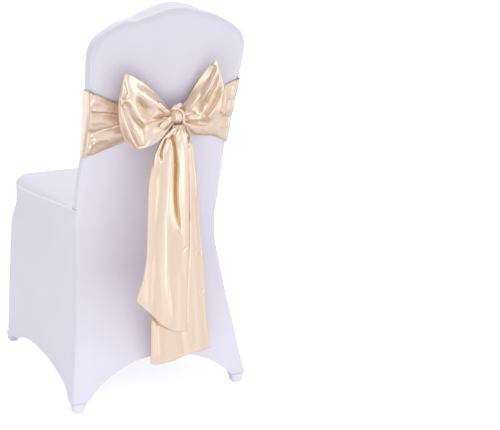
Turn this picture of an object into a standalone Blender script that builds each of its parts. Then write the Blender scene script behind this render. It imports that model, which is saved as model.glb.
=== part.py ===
"""Fitted stretch chair cover with a satin sash tied in a bow behind the backrest.

Metres, +Z up. The back of the chair faces -Y and the seat runs towards +Y. Tables give
y from the narrowest place of the rear, the waist; an empty sets the waist so that the
whole object stands centred on the origin.
"""
import math
from collections import namedtuple

import bmesh
import bpy
from mathutils import Vector

# Driving sizes of the cover
COVER_CLOTH = 0.002
WAIST_Y = -0.1398
SEAM_GAP = 0.001
SEAM_LEAD = 0.0015
SEAM_ANGLE = math.radians(50.0)
BACKREST_DEPTH = 0.041
BACK_EDGE_RADIUS = 0.018
GUSSET_REAR_RADIUS = 0.005
GUSSET_FRONT_RADIUS = 0.013
LEG_CORNER_RADIUS = 0.005
SEAT_LINE = 0.478
SEAT_REAR_Y = 0.018
SHOULDER_HEIGHT = 0.889

# Driving sizes of the foot pockets; the lean keeps the outer corner of a pocket upright
POCKET_WIDTH = 0.036
POCKET_DEPTH = 0.031
POCKET_TOP = 0.0265
POCKET_TAPER = 0.74
POCKET_LEAN = 0.35
POCKET_EDGE = 0.007

# Driving sizes of the sash
SASH_CLOTH = 0.0012
SASH_STAND_OFF = 0.0032
BAND_CORNER_RADIUS = 0.010
KNOT_CENTRE = Vector((0.0205, -0.112, 0.6965))
KNOT_RADII = Vector((0.0165, 0.0195, 0.0190))
KNOT_RIDGES = 3.0
KNOT_SLANT = 4.0
KNOT_RIDGE_DEPTH = 0.07

# Colours as red, green, blue
WHITE_CLOTH = (0.86, 0.86, 0.93)
CHAMPAGNE_SATIN = (0.85, 0.70, 0.47)

# Grid steps
LEG_ROWS = 10
BACKREST_ROWS = 8
CROWN_COLUMNS = 14
SIDE_RUN_STEPS = 5
CORNER_STEPS = 3
FRONT_RUN_STEPS = 6
SEAT_RUN_STEPS = 5

# Outer rear edge of the cover: half width and y of the seam at each height
RearStation = namedtuple("RearStation", "height half_width rear_y")
REAR = [
    RearStation(0.000, 0.2335, -0.0885),
    RearStation(0.030, 0.2290, -0.0831),
    RearStation(0.080, 0.2205, -0.0711),
    RearStation(0.150, 0.2100, -0.0562),
    RearStation(0.220, 0.1992, -0.0374),
    RearStation(0.300, 0.1897, -0.0167),
    RearStation(0.370, 0.1828, -0.0020),
    RearStation(0.420, 0.1820, 0.0000),
    RearStation(0.470, 0.1842, -0.0089),
    RearStation(0.540, 0.1838, -0.0257),
    RearStation(0.620, 0.1806, -0.0500),
    RearStation(0.700, 0.1800, -0.0760),
    RearStation(0.780, 0.1842, -0.1000),
    RearStation(0.830, 0.1872, -0.1130),
    RearStation(0.850, 0.1866, -0.1170),
    RearStation(0.868, 0.1812, -0.1205),
    RearStation(0.881, 0.1730, -0.1230),
    RearStation(SHOULDER_HEIGHT, 0.1640, -0.1245),
    RearStation(0.945, 0.1600, -0.1340),
]

# Depth of the backrest: a padded upper part over the bare frame above the seat
DepthStation = namedtuple("DepthStation", "height depth")
BACKREST = [
    DepthStation(0.478, 0.0330),
    DepthStation(0.515, 0.0300),
    DepthStation(0.560, 0.0265),
    DepthStation(0.600, 0.0240),
    DepthStation(0.630, 0.0245),
    DepthStation(0.655, 0.0280),
    DepthStation(0.680, 0.0335),
    DepthStation(0.710, 0.0380),
    DepthStation(0.760, BACKREST_DEPTH),
    DepthStation(0.940, BACKREST_DEPTH),
]

# Crown seam: height across the top of the backrest, with a small dip beside the hump
CrownPoint = namedtuple("CrownPoint", "across height")
CROWN = [
    CrownPoint(0.000, 0.9400),
    CrownPoint(0.022, 0.9385),
    CrownPoint(0.045, 0.9325),
    CrownPoint(0.066, 0.9255),
    CrownPoint(0.084, 0.9190),
    CrownPoint(0.100, 0.9165),
    CrownPoint(0.120, 0.9115),
    CrownPoint(0.143, 0.9020),
    CrownPoint(0.1640, SHOULDER_HEIGHT),
]
FRONT_HUMP = 0.008
FRONT_HUMP_WIDTH = 0.085

# Front corners of the skirt: half width, front y and corner radius at each height
FrontStation = namedtuple("FrontStation", "height half_width front_y radius")
FRONT = [
    FrontStation(0.000, 0.2235, 0.4385, 0.018),
    FrontStation(0.150, 0.2170, 0.4320, 0.018),
    FrontStation(0.266, 0.2125, 0.4240, 0.018),
    FrontStation(0.337, 0.2095, 0.4190, 0.020),
    FrontStation(0.363, 0.2075, 0.4190, 0.026),
    FrontStation(0.382, 0.2035, 0.4210, 0.036),
    FrontStation(0.401, 0.1995, 0.4230, 0.045),
    FrontStation(0.430, 0.1982, 0.4240, 0.048),
    FrontStation(0.480, 0.1980, 0.4240, 0.048),
]

# Hems: the arch between two legs, by the place along it
HemPoint = namedtuple("HemPoint", "place height")
LEG_HEM = POCKET_TOP + 0.0018
REAR_HEM = [
    HemPoint(0.000, 0.1100),
    HemPoint(0.057, 0.1040),
    HemPoint(0.087, 0.0950),
    HemPoint(0.120, 0.0810),
    HemPoint(0.150, 0.0650),
    HemPoint(0.172, 0.0480),
    HemPoint(0.190, 0.0310),
    HemPoint(0.196, LEG_HEM),
    HemPoint(0.240, LEG_HEM),
]
SIDE_HEM = [
    HemPoint(-0.090, LEG_HEM),
    HemPoint(-0.050, LEG_HEM),
    HemPoint(-0.040, 0.0420),
    HemPoint(-0.021, 0.0540),
    HemPoint(0.030, 0.0655),
    HemPoint(0.090, 0.0742),
    HemPoint(0.170, 0.0770),
    HemPoint(0.240, 0.0710),
    HemPoint(0.300, 0.0560),
    HemPoint(0.345, 0.0390),
    HemPoint(0.385, 0.0300),
    HemPoint(0.400, LEG_HEM),
    HemPoint(0.450, LEG_HEM),
]

# Seam between the seat and the side skirts, and the rise of the seat above it
SeatStation = namedtuple("SeatStation", "place seam_height rise")
SEAT = [
    SeatStation(0.000, 0.4770, 0.0060),
    SeatStation(0.060, 0.4725, 0.0120),
    SeatStation(0.125, 0.4670, 0.0160),
    SeatStation(0.254, 0.4560, 0.0210),
    SeatStation(0.328, 0.4520, 0.0230),
    SeatStation(0.430, 0.4510, 0.0240),
]
SEAT_EDGE_RUN = 0.040
SEAT_COLLAR = 0.003
SEAT_REAR_RUN = 0.070

# Sash band: lower and upper edge and pleat height at each place round the backrest. Places
# count its runs: 0-1 rear left, 2-3 left side, 4-5 front, 6-7 right side, 8-9 rear right
BandStation = namedtuple("BandStation", "place low high pleat lift")
BAND = [
    BandStation(0.00, 0.6830, 0.7120, 0.0040, 0.0030),
    BandStation(0.15, 0.6700, 0.7160, 0.0045, 0.0010),
    BandStation(0.47, 0.6420, 0.7270, 0.0040, 0.0000),
    BandStation(0.75, 0.6260, 0.7400, 0.0030, 0.0000),
    BandStation(1.00, 0.6130, 0.7590, 0.0015, 0.0000),
    BandStation(2.00, 0.6080, 0.7660, 0.0012, 0.0000),
    BandStation(4.50, 0.6130, 0.7640, 0.0012, 0.0000),
    BandStation(7.00, 0.6140, 0.7720, 0.0012, 0.0000),
    BandStation(8.00, 0.6200, 0.7690, 0.0015, 0.0000),
    BandStation(8.25, 0.6340, 0.7560, 0.0035, 0.0000),
    BandStation(8.60, 0.6400, 0.7340, 0.0040, 0.0000),
    BandStation(8.85, 0.6620, 0.7180, 0.0045, 0.0010),
    BandStation(9.00, 0.6790, 0.7140, 0.0040, 0.0030),
]
BAND_LEFT_START = 0.001
BAND_RIGHT_END = 0.041
BAND_CREASES = (0.0, 0.37, 0.66, 1.0)
BAND_REAR_STEPS = 7
BAND_CORNER_STEPS = 3
BAND_FRONT_STEPS = 8

# Bow loops: the fold line at the outer end, and the middle of the way there from the knot,
# from the upper edge of the strip (across 0) to its lower edge (across 1)
LoopRib = namedtuple("LoopRib", "across fold_x fold_y fold_z middle_x middle_z gap")
LEFT_LOOP = [
    LoopRib(0.00, -0.1215, -0.1490, 0.8080, -0.0500, 0.7780, 0.016),
    LoopRib(0.18, -0.1290, -0.1490, 0.7800, -0.0620, 0.7600, 0.030),
    LoopRib(0.38, -0.1340, -0.1440, 0.7470, -0.0680, 0.7280, 0.036),
    LoopRib(0.60, -0.1290, -0.1330, 0.7060, -0.0660, 0.6920, 0.036),
    LoopRib(0.82, -0.1120, -0.1190, 0.6620, -0.0560, 0.6480, 0.030),
    LoopRib(1.00, -0.0880, -0.1120, 0.6340, -0.0420, 0.6280, 0.020),
]
RIGHT_LOOP = [
    LoopRib(0.00, 0.0950, -0.1520, 0.8210, 0.0625, 0.7900, 0.007),
    LoopRib(0.20, 0.1100, -0.1500, 0.7920, 0.0730, 0.7580, 0.022),
    LoopRib(0.40, 0.1230, -0.1440, 0.7620, 0.0790, 0.7300, 0.031),
    LoopRib(0.62, 0.1350, -0.1320, 0.7200, 0.0830, 0.7020, 0.034),
    LoopRib(0.82, 0.1230, -0.1210, 0.6840, 0.0800, 0.6760, 0.028),
    LoopRib(1.00, 0.0970, -0.1150, 0.6620, 0.0620, 0.6640, 0.018),
]
LOOP_KNOT_GAP = 0.0190
LOOP_KNOT_HALF_HEIGHT = 0.0130
LOOP_KNOT_HALF_DEPTH = 0.0080
LOOP_PLEAT = 0.0035
LOOP_PLEATS = 2.5
LOOP_RUN_STEPS = 8
LOOP_ACROSS_STEPS = 12

# Tails: left and right edge at each height, the depth they hang at and their folds
TailStation = namedtuple("TailStation", "height left right")
FRONT_TAIL = [
    TailStation(0.6740, 0.0060, 0.0330),
    TailStation(0.6500, -0.0220, 0.0400),
    TailStation(0.5950, -0.0460, 0.0440),
    TailStation(0.5400, -0.0560, 0.0460),
    TailStation(0.4800, -0.0580, 0.0480),
    TailStation(0.3950, -0.0600, 0.0490),
    TailStation(0.3360, -0.0680, 0.0480),
    TailStation(0.2760, -0.0860, 0.0450),
    TailStation(0.1810, -0.0900, 0.0460),
]
REAR_TAIL = [
    TailStation(0.6740, 0.0100, 0.0380),
    TailStation(0.6449, -0.0060, 0.0585),
    TailStation(0.6025, -0.0200, 0.0704),
    TailStation(0.5330, -0.0290, 0.0797),
    TailStation(0.4553, -0.0330, 0.0877),
    TailStation(0.4021, -0.0340, 0.0923),
    TailStation(0.3181, -0.0360, 0.1019),
    TailStation(0.2134, -0.0375, 0.1091),
    TailStation(0.1000, -0.0390, 0.1260),
]
TailHem = namedtuple("TailHem", "across height")
FRONT_TAIL_HEM = [
    TailHem(0.00, 0.2764),
    TailHem(0.29, 0.2403),
    TailHem(0.53, 0.2071),
    TailHem(0.78, 0.1865),
    TailHem(1.00, 0.1816),
]
REAR_TAIL_HEM = [
    TailHem(0.00, 0.1054),
    TailHem(0.15, 0.0995),
    TailHem(0.33, 0.1005),
    TailHem(0.64, 0.1125),
    TailHem(1.00, 0.1184),
]
# Folds of the tails: x at the knot and its drift per metre of fall, half width, depth
# towards the cover, and the falls over which the fold grows and dies away
TailFold = namedtuple("TailFold", "x drift half_width depth grown gone")
FRONT_TAIL_FOLDS = [
    TailFold(0.0100, 0.10, 0.0110, 0.0100, 0.05, 0.30),
    TailFold(0.0040, -0.03, 0.0150, -0.0080, 0.10, 1.20),
    TailFold(-0.0200, -0.05, 0.0120, 0.0040, 0.08, 0.60),
    TailFold(0.0420, 0.00, 0.0080, -0.0030, 0.12, 0.90),
    TailFold(-0.0450, -0.02, 0.0110, -0.0040, 0.20, 1.20),
]
REAR_TAIL_FOLDS = [
    TailFold(0.0500, 0.08, 0.0120, -0.0030, 0.06, 1.20),
    TailFold(0.0640, 0.08, 0.0120, 0.0050, 0.06, 0.90),
    TailFold(0.0000, 0.00, 0.0180, 0.0050, 0.15, 1.20),
    TailFold(0.0450, -0.02, 0.0200, 0.0060, 0.20, 1.20),
]
TAIL_GATHER = 0.0040
TAIL_GATHER_PLEATS = 2.5
TAIL_GATHER_LENGTH = 0.10
FRONT_TAIL_OUT = 0.014
REAR_TAIL_IN = 0.008
TAIL_ROWS = 15
TAIL_COLUMNS = 11

OBJECT_NAME = "chair_cover_with_sash"


def clear_scene():
    for item in list(bpy.data.objects):
        bpy.data.objects.remove(item, do_unlink=True)


def make_material(name, colour, roughness):
    material = bpy.data.materials.new(name)
    material.use_nodes = True
    shader = material.node_tree.nodes["Principled BSDF"]
    shader.inputs["Base Color"].default_value = (*colour, 1.0)
    shader.inputs["Roughness"].default_value = roughness
    shader.inputs["Metallic"].default_value = 0.0
    return material


# Reading the tables

def table_slopes(places, values):
    """Slope at each row, by the rule that never overshoots a row."""
    steps = [
        (values[i + 1] - values[i]) / (places[i + 1] - places[i])
        for i in range(len(places) - 1)
    ]
    slopes = [steps[0]]
    for before, after in zip(steps, steps[1:]):
        level = before * after <= 0.0
        slopes.append(0.0 if level else 2.0 * before * after / (before + after))
    slopes.append(steps[-1])
    return slopes


def smooth(rows, column, place):
    """Value of a column at a place, on a smooth curve through the rows."""
    places = [row[0] for row in rows]
    values = [getattr(row, column) for row in rows]
    if place <= places[0]:
        return values[0]
    if place >= places[-1]:
        return values[-1]
    i = max(k for k in range(len(places) - 1) if places[k] <= place)
    slopes = table_slopes(places, values)
    width = places[i + 1] - places[i]
    t = (place - places[i]) / width
    from_low = (1 + 2 * t) * (1 - t) ** 2 * values[i] + t * (1 - t) ** 2 * width * slopes[i]
    from_high = t * t * (3 - 2 * t) * values[i + 1] + t * t * (t - 1) * width * slopes[i + 1]
    return from_low + from_high


def mix(low, high, part):
    return low + (high - low) * part


def ease(part):
    """0 to 1 with level ends."""
    part = min(max(part, 0.0), 1.0)
    return part * part * (3.0 - 2.0 * part)


def even(low, high, steps):
    return [mix(low, high, i / steps) for i in range(steps + 1)]


# Sheets of cloth

def grid_mesh(columns, rows, point):
    """Grid of vertices placed by point(column, row)."""
    mesh = bmesh.new()
    bmesh.ops.create_grid(
        mesh, x_segments=len(columns) - 1, y_segments=len(rows) - 1, size=1.0
    )
    for vertex in mesh.verts:
        column = columns[round((vertex.co.x + 1.0) / 2.0 * (len(columns) - 1))]
        row = rows[round((vertex.co.y + 1.0) / 2.0 * (len(rows) - 1))]
        vertex.co = Vector(point(column, row))
    return mesh


def cloth_object(name, mesh, thickness, material, parent, flipped=False):
    """One sheet: the mesh is its outer face, and the cloth lies behind it."""
    if flipped:
        bmesh.ops.reverse_faces(mesh, faces=mesh.faces)
    data = bpy.data.meshes.new(name)
    mesh.to_mesh(data)
    mesh.free()
    data.materials.append(material)
    data.shade_smooth()
    sheet = bpy.data.objects.new(name, data)
    sheet.parent = parent
    bpy.data.collections[OBJECT_NAME].objects.link(sheet)
    solid = sheet.modifiers.new("Cloth", "SOLIDIFY")
    solid.thickness = thickness
    solid.offset = -1.0
    solid.use_even_offset = True
    return sheet


# Rear edge of the cover

def rear_point(height):
    """Half width and y of the rear seam."""
    return smooth(REAR, "half_width", height), smooth(REAR, "rear_y", height)


def edge_scale(height):
    """The rounded edge of the back is full above the seat and slim down the legs."""
    return mix(0.30, 1.0, ease((height - 0.42) / 0.14))


EdgeStep = namedtuple("EdgeStep", "inset rise")


def back_edge_steps():
    """From the seam in over the rounded edge to the flat of the back."""
    lead_in = SEAM_LEAD * math.cos(SEAM_ANGLE)
    lead_up = SEAM_LEAD * math.sin(SEAM_ANGLE)
    steps = [EdgeStep(0.0, 0.0)]
    for angle in even(SEAM_ANGLE, 0.0, 3):
        inset = lead_in + BACK_EDGE_RADIUS * (math.sin(SEAM_ANGLE) - math.sin(angle))
        rise = lead_up + BACK_EDGE_RADIUS * (math.cos(angle) - math.cos(SEAM_ANGLE))
        steps.append(EdgeStep(inset, rise))
    return steps


BACK_RISE = back_edge_steps()[-1].rise


def gusset_steps():
    """From the seam out, round to the side, forward along it and round to the front face."""
    cos_seam = math.cos(SEAM_ANGLE)
    sin_seam = math.sin(SEAM_ANGLE)
    start = SEAM_GAP
    lead = SEAM_GAP + SEAM_LEAD
    steps = [
        EdgeStep(-start * cos_seam, start * sin_seam),
        EdgeStep(-lead * cos_seam, lead * sin_seam),
    ]
    for angle in even(SEAM_ANGLE, math.pi / 2, 2)[1:]:
        inset = steps[1].inset - GUSSET_REAR_RADIUS * (math.sin(angle) - sin_seam)
        rise = steps[1].rise + GUSSET_REAR_RADIUS * (cos_seam - math.cos(angle))
        steps.append(EdgeStep(inset, rise))
    outermost = steps[-1].inset
    front = BACKREST_DEPTH - BACK_RISE
    for angle in even(0.0, math.pi / 2, 3):
        inset = outermost + GUSSET_FRONT_RADIUS * (1.0 - math.cos(angle))
        rise = front - GUSSET_FRONT_RADIUS * (1.0 - math.sin(angle))
        steps.append(EdgeStep(inset, rise))
    return steps


GUSSET_REACH = -min(step.inset for step in gusset_steps())
GUSSET_TURN = SEAM_GAP + SEAM_LEAD + GUSSET_REAR_RADIUS


def gusset_rise(rise, height):
    """Rise of a gusset step where the backrest is thinner than at its top."""
    full = BACKREST_DEPTH - BACK_RISE
    here = smooth(BACKREST, "depth", height) - BACK_RISE
    beyond = max(rise - GUSSET_TURN, 0.0)
    return rise - beyond + beyond * (here - GUSSET_TURN) / (full - GUSSET_TURN)


# Panels that end in a rounded edge: a face with rings run out from its border to the seam

def crown_height(across):
    return smooth(CROWN, "height", abs(across))


def backrest_outline(side_heights):
    """Seam of the backrest: up the left side, over the crown and down the right side."""
    left = [(-smooth(REAR, "half_width", height), height) for height in side_heights]
    shoulder = CROWN[-1].across
    top = [(x, crown_height(x)) for x in even(-shoulder, shoulder, CROWN_COLUMNS)]
    right = [(-x, height) for x, height in reversed(left)]
    return left + top[1:-1] + right


def outline_normals(outline):
    """Outward direction at each point of an open outline that runs clockwise."""
    last = len(outline) - 1
    normals = []
    for i in range(len(outline)):
        before = Vector(outline[max(i - 1, 0)])
        after = Vector(outline[min(i + 1, last)])
        run = (after - before).normalized()
        normals.append(Vector((-run.y, run.x)))
    return normals


def patch_point(left, right, bottom, top, i, j):
    """Point of the smooth patch between four borders, at row i and column j."""
    rows = len(left) - 1
    columns = len(bottom) - 1
    up = (left[i].y - left[0].y) / (left[rows].y - left[0].y)
    over = (top[j].x - top[0].x) / (top[columns].x - top[0].x)
    between_sides = left[i].lerp(right[i], over)
    between_ends = bottom[j].lerp(top[j], up)
    corners = left[0].lerp(right[0], over).lerp(left[rows].lerp(right[rows], over), up)
    return between_sides + between_ends - corners


def dished_mesh(outline, side_rows, scale, steps, bottom_height, place):
    """Face and rounded edge of a panel, inside an outline that is open at the bottom.

    place(across, along, rise) gives the point in space; scale(along) sizes the edge.
    """
    normals = outline_normals(outline)
    flat = steps[-1]
    border = []
    for (across, along), normal in zip(outline, normals):
        border.append(Vector((across, along)) - normal * flat.inset * scale(along))
    columns = len(outline) - 2 * side_rows
    left = border[:side_rows + 1]
    top = border[side_rows:side_rows + columns]
    right = list(reversed(border[-side_rows - 1:]))
    shares = [(point.x - top[0].x) / (top[-1].x - top[0].x) for point in top]
    bottom = []
    for share in shares:
        across = mix(left[0].x, right[0].x, share)
        bottom.append(Vector((across, bottom_height(across))))

    def point(j, i):
        spot = patch_point(left, right, bottom, top, i, j)
        return place(spot.x, spot.y, flat.rise * scale(spot.y))

    mesh = grid_mesh(range(len(top)), range(len(left)), point)
    ring = ring_of_border(mesh, [place(p.x, p.y, flat.rise * scale(p.y)) for p in border])
    for step in reversed(steps[:-1]):
        ring = next_ring(mesh, ring)
        for vertex, (across, along), normal in zip(ring, outline, normals):
            size = scale(along)
            spot = Vector((across, along)) - normal * step.inset * size
            vertex.co = Vector(place(spot.x, spot.y, step.rise * size))
    return mesh


def ring_of_border(mesh, places):
    """The mesh's vertices at the given places, in their order."""
    return [
        min(mesh.verts, key=lambda vertex: (vertex.co - Vector(place)).length_squared)
        for place in places
    ]


def next_ring(mesh, ring):
    """Extrude a row of vertices and return the new row in the same order."""
    edges = [mesh.edges.get(pair) for pair in zip(ring, ring[1:])]
    made = bmesh.ops.extrude_edge_only(mesh, edges=edges)["geom"]
    fresh = {item for item in made if isinstance(item, bmesh.types.BMVert)}
    following = []
    for vertex in ring:
        others = [edge.other_vert(vertex) for edge in vertex.link_edges]
        following.append(next(other for other in others if other in fresh))
    return following


def side_heights_above_seat():
    straight = even(SEAT_LINE, 0.830, BACKREST_ROWS)
    return straight + [0.850, 0.868, SHOULDER_HEIGHT]


def make_back_panel(material, parent):
    heights = even(LEG_HEM, SEAT_LINE, LEG_ROWS)[:-1] + side_heights_above_seat()
    outline = backrest_outline(heights)

    def place(across, along, rise):
        return across, smooth(REAR, "rear_y", along) - rise, along

    mesh = dished_mesh(
        outline, len(heights) - 1, edge_scale, back_edge_steps(),
        lambda across: smooth(REAR_HEM, "height", abs(across)), place
    )
    return cloth_object("back_panel", mesh, COVER_CLOTH, material, parent)


def make_inner_back_panel(material, parent):
    heights = side_heights_above_seat()
    outline = backrest_outline(heights)
    front_rise = gusset_steps()[-1].rise

    def place(across, along, rise):
        hump = FRONT_HUMP * ease(1.0 - abs(across) / FRONT_HUMP_WIDTH)
        hump *= ease((along - 0.87) / 0.05) * rise / front_rise
        y = smooth(REAR, "rear_y", along) + gusset_rise(rise, along)
        return across, y, along + hump

    mesh = dished_mesh(
        outline, len(heights) - 1, lambda along: 1.0, gusset_steps(),
        lambda across: SEAT_LINE, place
    )
    return cloth_object("inner_back_panel", mesh, COVER_CLOTH, material, parent, flipped=True)


# Plan of the cover below the seat

def arc_point(centre, radius, angle):
    """Point on a corner; angle 0 faces the left side, 90 degrees faces front or rear."""
    return centre[0] - radius * math.cos(angle), centre[1] + radius * math.sin(angle)


def side_path(height, place):
    """Left side in plan: 0-1 turns the rear corner, 1-2 runs forward, 2-3 turns the front."""
    half_width, rear_y = rear_point(height)
    lead = SEAM_GAP + SEAM_LEAD
    cos_seam = math.cos(SEAM_ANGLE)
    sin_seam = math.sin(SEAM_ANGLE)
    start = (-half_width - lead * cos_seam, rear_y + lead * sin_seam)
    rear_centre = (
        start[0] + LEG_CORNER_RADIUS * sin_seam,
        start[1] + LEG_CORNER_RADIUS * cos_seam,
    )
    front_centre, radius = front_corner(height)
    if place < 0.5:
        near = (-half_width - SEAM_GAP * cos_seam, rear_y + SEAM_GAP * sin_seam)
        part = place / 0.5
        return mix(near[0], start[0], part), mix(near[1], start[1], part)
    if place <= 1.0:
        angle = mix(SEAM_ANGLE - math.pi / 2, 0.0, (place - 0.5) / 0.5)
        return arc_point(rear_centre, LEG_CORNER_RADIUS, angle)
    if place <= 2.0:
        part = place - 1.0
        rear = arc_point(rear_centre, LEG_CORNER_RADIUS, 0.0)
        front = arc_point(front_centre, radius, 0.0)
        return mix(rear[0], front[0], part), mix(rear[1], front[1], part)
    end = math.pi / 4 - SEAM_GAP / (2.0 * radius)
    return arc_point(front_centre, radius, end * (place - 2.0))


def front_corner(height):
    radius = smooth(FRONT, "radius", height)
    half_width = smooth(FRONT, "half_width", height)
    front_y = smooth(FRONT, "front_y", height)
    return (-(half_width - radius), front_y - radius), radius


def front_path(height, place):
    """Front in plan: 0-1 leaves the left corner seam, 1-2 crosses, 2-3 turns to the right."""
    if place > 1.5:
        x, y = front_path(height, 3.0 - place)
        return -x, y
    centre, radius = front_corner(height)
    start = math.pi / 4 + SEAM_GAP / (2.0 * radius)
    if place < 1.0:
        return arc_point(centre, radius, mix(start, math.pi / 2, place))
    x, y = arc_point(centre, radius, math.pi / 2)
    return mix(x, -x, place - 1.0), y


def skirt_top(y):
    """Height of a skirt's top edge: under the seat seam, and level under the gusset."""
    return smooth(SEAT, "seam_height", y) - SEAM_GAP


def side_steps():
    rear = [0.0, 0.5, 0.75, 1.0]
    front = even(2.0, 3.0, CORNER_STEPS)[1:]
    return rear + even(1.0, 2.0, SIDE_RUN_STEPS)[1:] + front


def make_side_skirt(name, side, material, parent):
    """Side skirt; side is -1 for the left and 1 for the right."""

    def point(place, part):
        hem = smooth(SIDE_HEM, "height", side_path(0.05, place)[1])
        top = skirt_top(side_path(SEAT_LINE, place)[1])
        height = mix(hem, top, part)
        x, y = side_path(height, place)
        return -side * x, y, height

    mesh = grid_mesh(side_steps(), even(0.0, 1.0, LEG_ROWS), point)
    return cloth_object(name, mesh, COVER_CLOTH, material, parent, flipped=side < 0)


def make_front_skirt(material, parent):
    steps = even(0.0, 1.0, CORNER_STEPS) + even(1.0, 2.0, FRONT_RUN_STEPS)[1:]
    steps += even(2.0, 3.0, CORNER_STEPS)[1:]

    def point(place, part):
        hem = smooth(REAR_HEM, "height", abs(front_path(0.05, place)[0]) * 1.04)
        top = skirt_top(front_path(SEAT_LINE, place)[1])
        height = mix(hem, top, part)
        x, y = front_path(height, place)
        return x, y, height

    mesh = grid_mesh(steps, even(0.0, 1.0, LEG_ROWS), point)
    return cloth_object("skirt_front", mesh, COVER_CLOTH, material, parent, flipped=True)


def seat_outline():
    """Seat seam in plan: forward along the left, across the front and back on the right."""
    straight_end = side_path(SEAT_LINE, 2.0)
    straight_start = side_path(SEAT_LINE, 1.0)
    left = []
    for y in even(SEAT_REAR_Y, straight_end[1], SEAT_RUN_STEPS):
        part = (y - straight_start[1]) / (straight_end[1] - straight_start[1])
        left.append((mix(straight_start[0], straight_end[0], part), y))
    left += [side_path(SEAT_LINE, place) for place in even(2.0, 3.0, CORNER_STEPS)[1:]]
    crossing = even(1.0, 2.0, FRONT_RUN_STEPS)
    turns = even(0.0, 1.0, CORNER_STEPS)
    front = [front_path(SEAT_LINE, place) for place in turns[1:-1] + crossing]
    front += [(-x, y) for x, y in reversed(front[:CORNER_STEPS - 1])]
    right = [(-x, y) for x, y in reversed(left)]
    return left, front, right


def make_seat_panel(material, parent):
    """Domed seat with a short collar down to the seam."""
    left, front, right = seat_outline()
    outline = left + front + right
    side_rows = len(left) - 1
    front_y = smooth(FRONT, "front_y", SEAT_LINE)

    def seat_rise(x, y):
        half_width = max(abs(left[0][0]), abs(x))
        for (xa, ya), (xb, yb) in zip(left, left[1:]):
            if ya <= y <= yb:
                half_width = abs(mix(xa, xb, (y - ya) / (yb - ya)))
        to_edge = min(half_width - abs(x), front_y - y)
        part = min(max(to_edge / SEAT_EDGE_RUN, 0.0), 1.0)
        dome = math.sqrt(1.0 - (1.0 - part) ** 2)
        from_back = ease((y - SEAT_REAR_Y) / SEAT_REAR_RUN)
        return SEAT_COLLAR + dome * smooth(SEAT, "rise", y) * from_back

    def place(x, y, rise):
        height = smooth(SEAT, "seam_height", y)
        return x, y, height + (seat_rise(x, y) if rise else 0.0)

    steps = [EdgeStep(0.0, 0.0), EdgeStep(0.0, 1.0)]
    mesh = dished_mesh(
        outline, side_rows, lambda along: 1.0, steps, lambda across: SEAT_REAR_Y, place
    )
    return cloth_object("seat_panel", mesh, COVER_CLOTH, material, parent)


# Foot pockets

def make_foot_pocket(name, x, y, side, toward_front, material, parent):
    """Closed pocket over a leg's end, open on top; x and y are its outer corner."""
    mesh = bmesh.new()
    bmesh.ops.create_cube(mesh, size=1.0)
    lid = [face for face in mesh.faces if face.normal.z > 0.5]
    bmesh.ops.delete(mesh, geom=lid, context="FACES_ONLY")
    bmesh.ops.scale(mesh, vec=(POCKET_WIDTH, POCKET_DEPTH, POCKET_TOP), verts=mesh.verts)
    low = [vertex for vertex in mesh.verts if vertex.co.z < 0.0]
    bmesh.ops.scale(mesh, vec=(POCKET_TAPER, POCKET_TAPER, 1.0), verts=low)
    lean = POCKET_LEAN * POCKET_WIDTH * (1.0 - POCKET_TAPER)
    bmesh.ops.translate(mesh, vec=(side * lean, toward_front * lean, 0.0), verts=low)
    edges = [edge for edge in mesh.edges if not edge.is_boundary]
    bmesh.ops.bevel(
        mesh, geom=edges, offset=POCKET_EDGE, offset_type="OFFSET", segments=3,
        profile=0.5, affect="EDGES"
    )
    centre_x = x - side * POCKET_WIDTH / 2
    centre_y = y - toward_front * POCKET_DEPTH / 2
    bmesh.ops.translate(mesh, vec=(centre_x, centre_y, POCKET_TOP / 2), verts=mesh.verts)
    return cloth_object(name, mesh, COVER_CLOTH, material, parent)


def make_foot_pockets(material, parent):
    rear_half_width, rear_y = rear_point(POCKET_TOP)
    rear_corner_y = rear_y - BACK_RISE * edge_scale(0.0)
    front_half_width = smooth(FRONT, "half_width", POCKET_TOP)
    front_y = smooth(FRONT, "front_y", POCKET_TOP)
    for side_name, side in (("left", -1), ("right", 1)):
        make_foot_pocket(
            "foot_pocket_rear_" + side_name, side * rear_half_width, rear_corner_y,
            side, -1, material, parent
        )
        make_foot_pocket(
            "foot_pocket_front_" + side_name, side * front_half_width, front_y,
            side, 1, material, parent
        )


# Sash

def band_path(height, place):
    """Plan point of the band's outer face, and its outward direction."""
    half_width, rear_y = rear_point(height)
    side_x = half_width + GUSSET_REACH + SASH_STAND_OFF
    rear = rear_y - BACK_RISE - SASH_STAND_OFF
    front = rear_y - BACK_RISE + smooth(BACKREST, "depth", height) + SASH_STAND_OFF
    radius = BAND_CORNER_RADIUS
    inner_x = side_x - radius
    corners = {
        1: (-inner_x, rear + radius, 1.5), 3: (-inner_x, front - radius, 1.0),
        5: (inner_x, front - radius, 0.5), 7: (inner_x, rear + radius, 0.0),
    }
    run = min(int(place), 8)
    part = place - run
    if run in corners:
        x, y, turn = corners[run]
        angle = math.pi * (turn - 0.5 * part)
        out = Vector((math.cos(angle), math.sin(angle)))
        return Vector((x, y)) + out * radius, out
    runs = {
        0: ((BAND_LEFT_START, rear), (-inner_x, rear), (0, -1)),
        2: ((-side_x, rear + radius), (-side_x, front - radius), (-1, 0)),
        4: ((-inner_x, front), (inner_x, front), (0, 1)),
        6: ((side_x, front - radius), (side_x, rear + radius), (1, 0)),
        8: ((inner_x, rear), (BAND_RIGHT_END, rear), (0, -1)),
    }
    start, end, out = runs[run]
    return Vector(start).lerp(Vector(end), part), Vector(out)


def pleat_share(part):
    """0 in the creases that run along the band and 1 on the soft ridges between them."""
    for low, high in zip(BAND_CREASES, BAND_CREASES[1:]):
        if low <= part <= high:
            return math.sin(math.pi * (part - low) / (high - low))
    return 0.0


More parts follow.
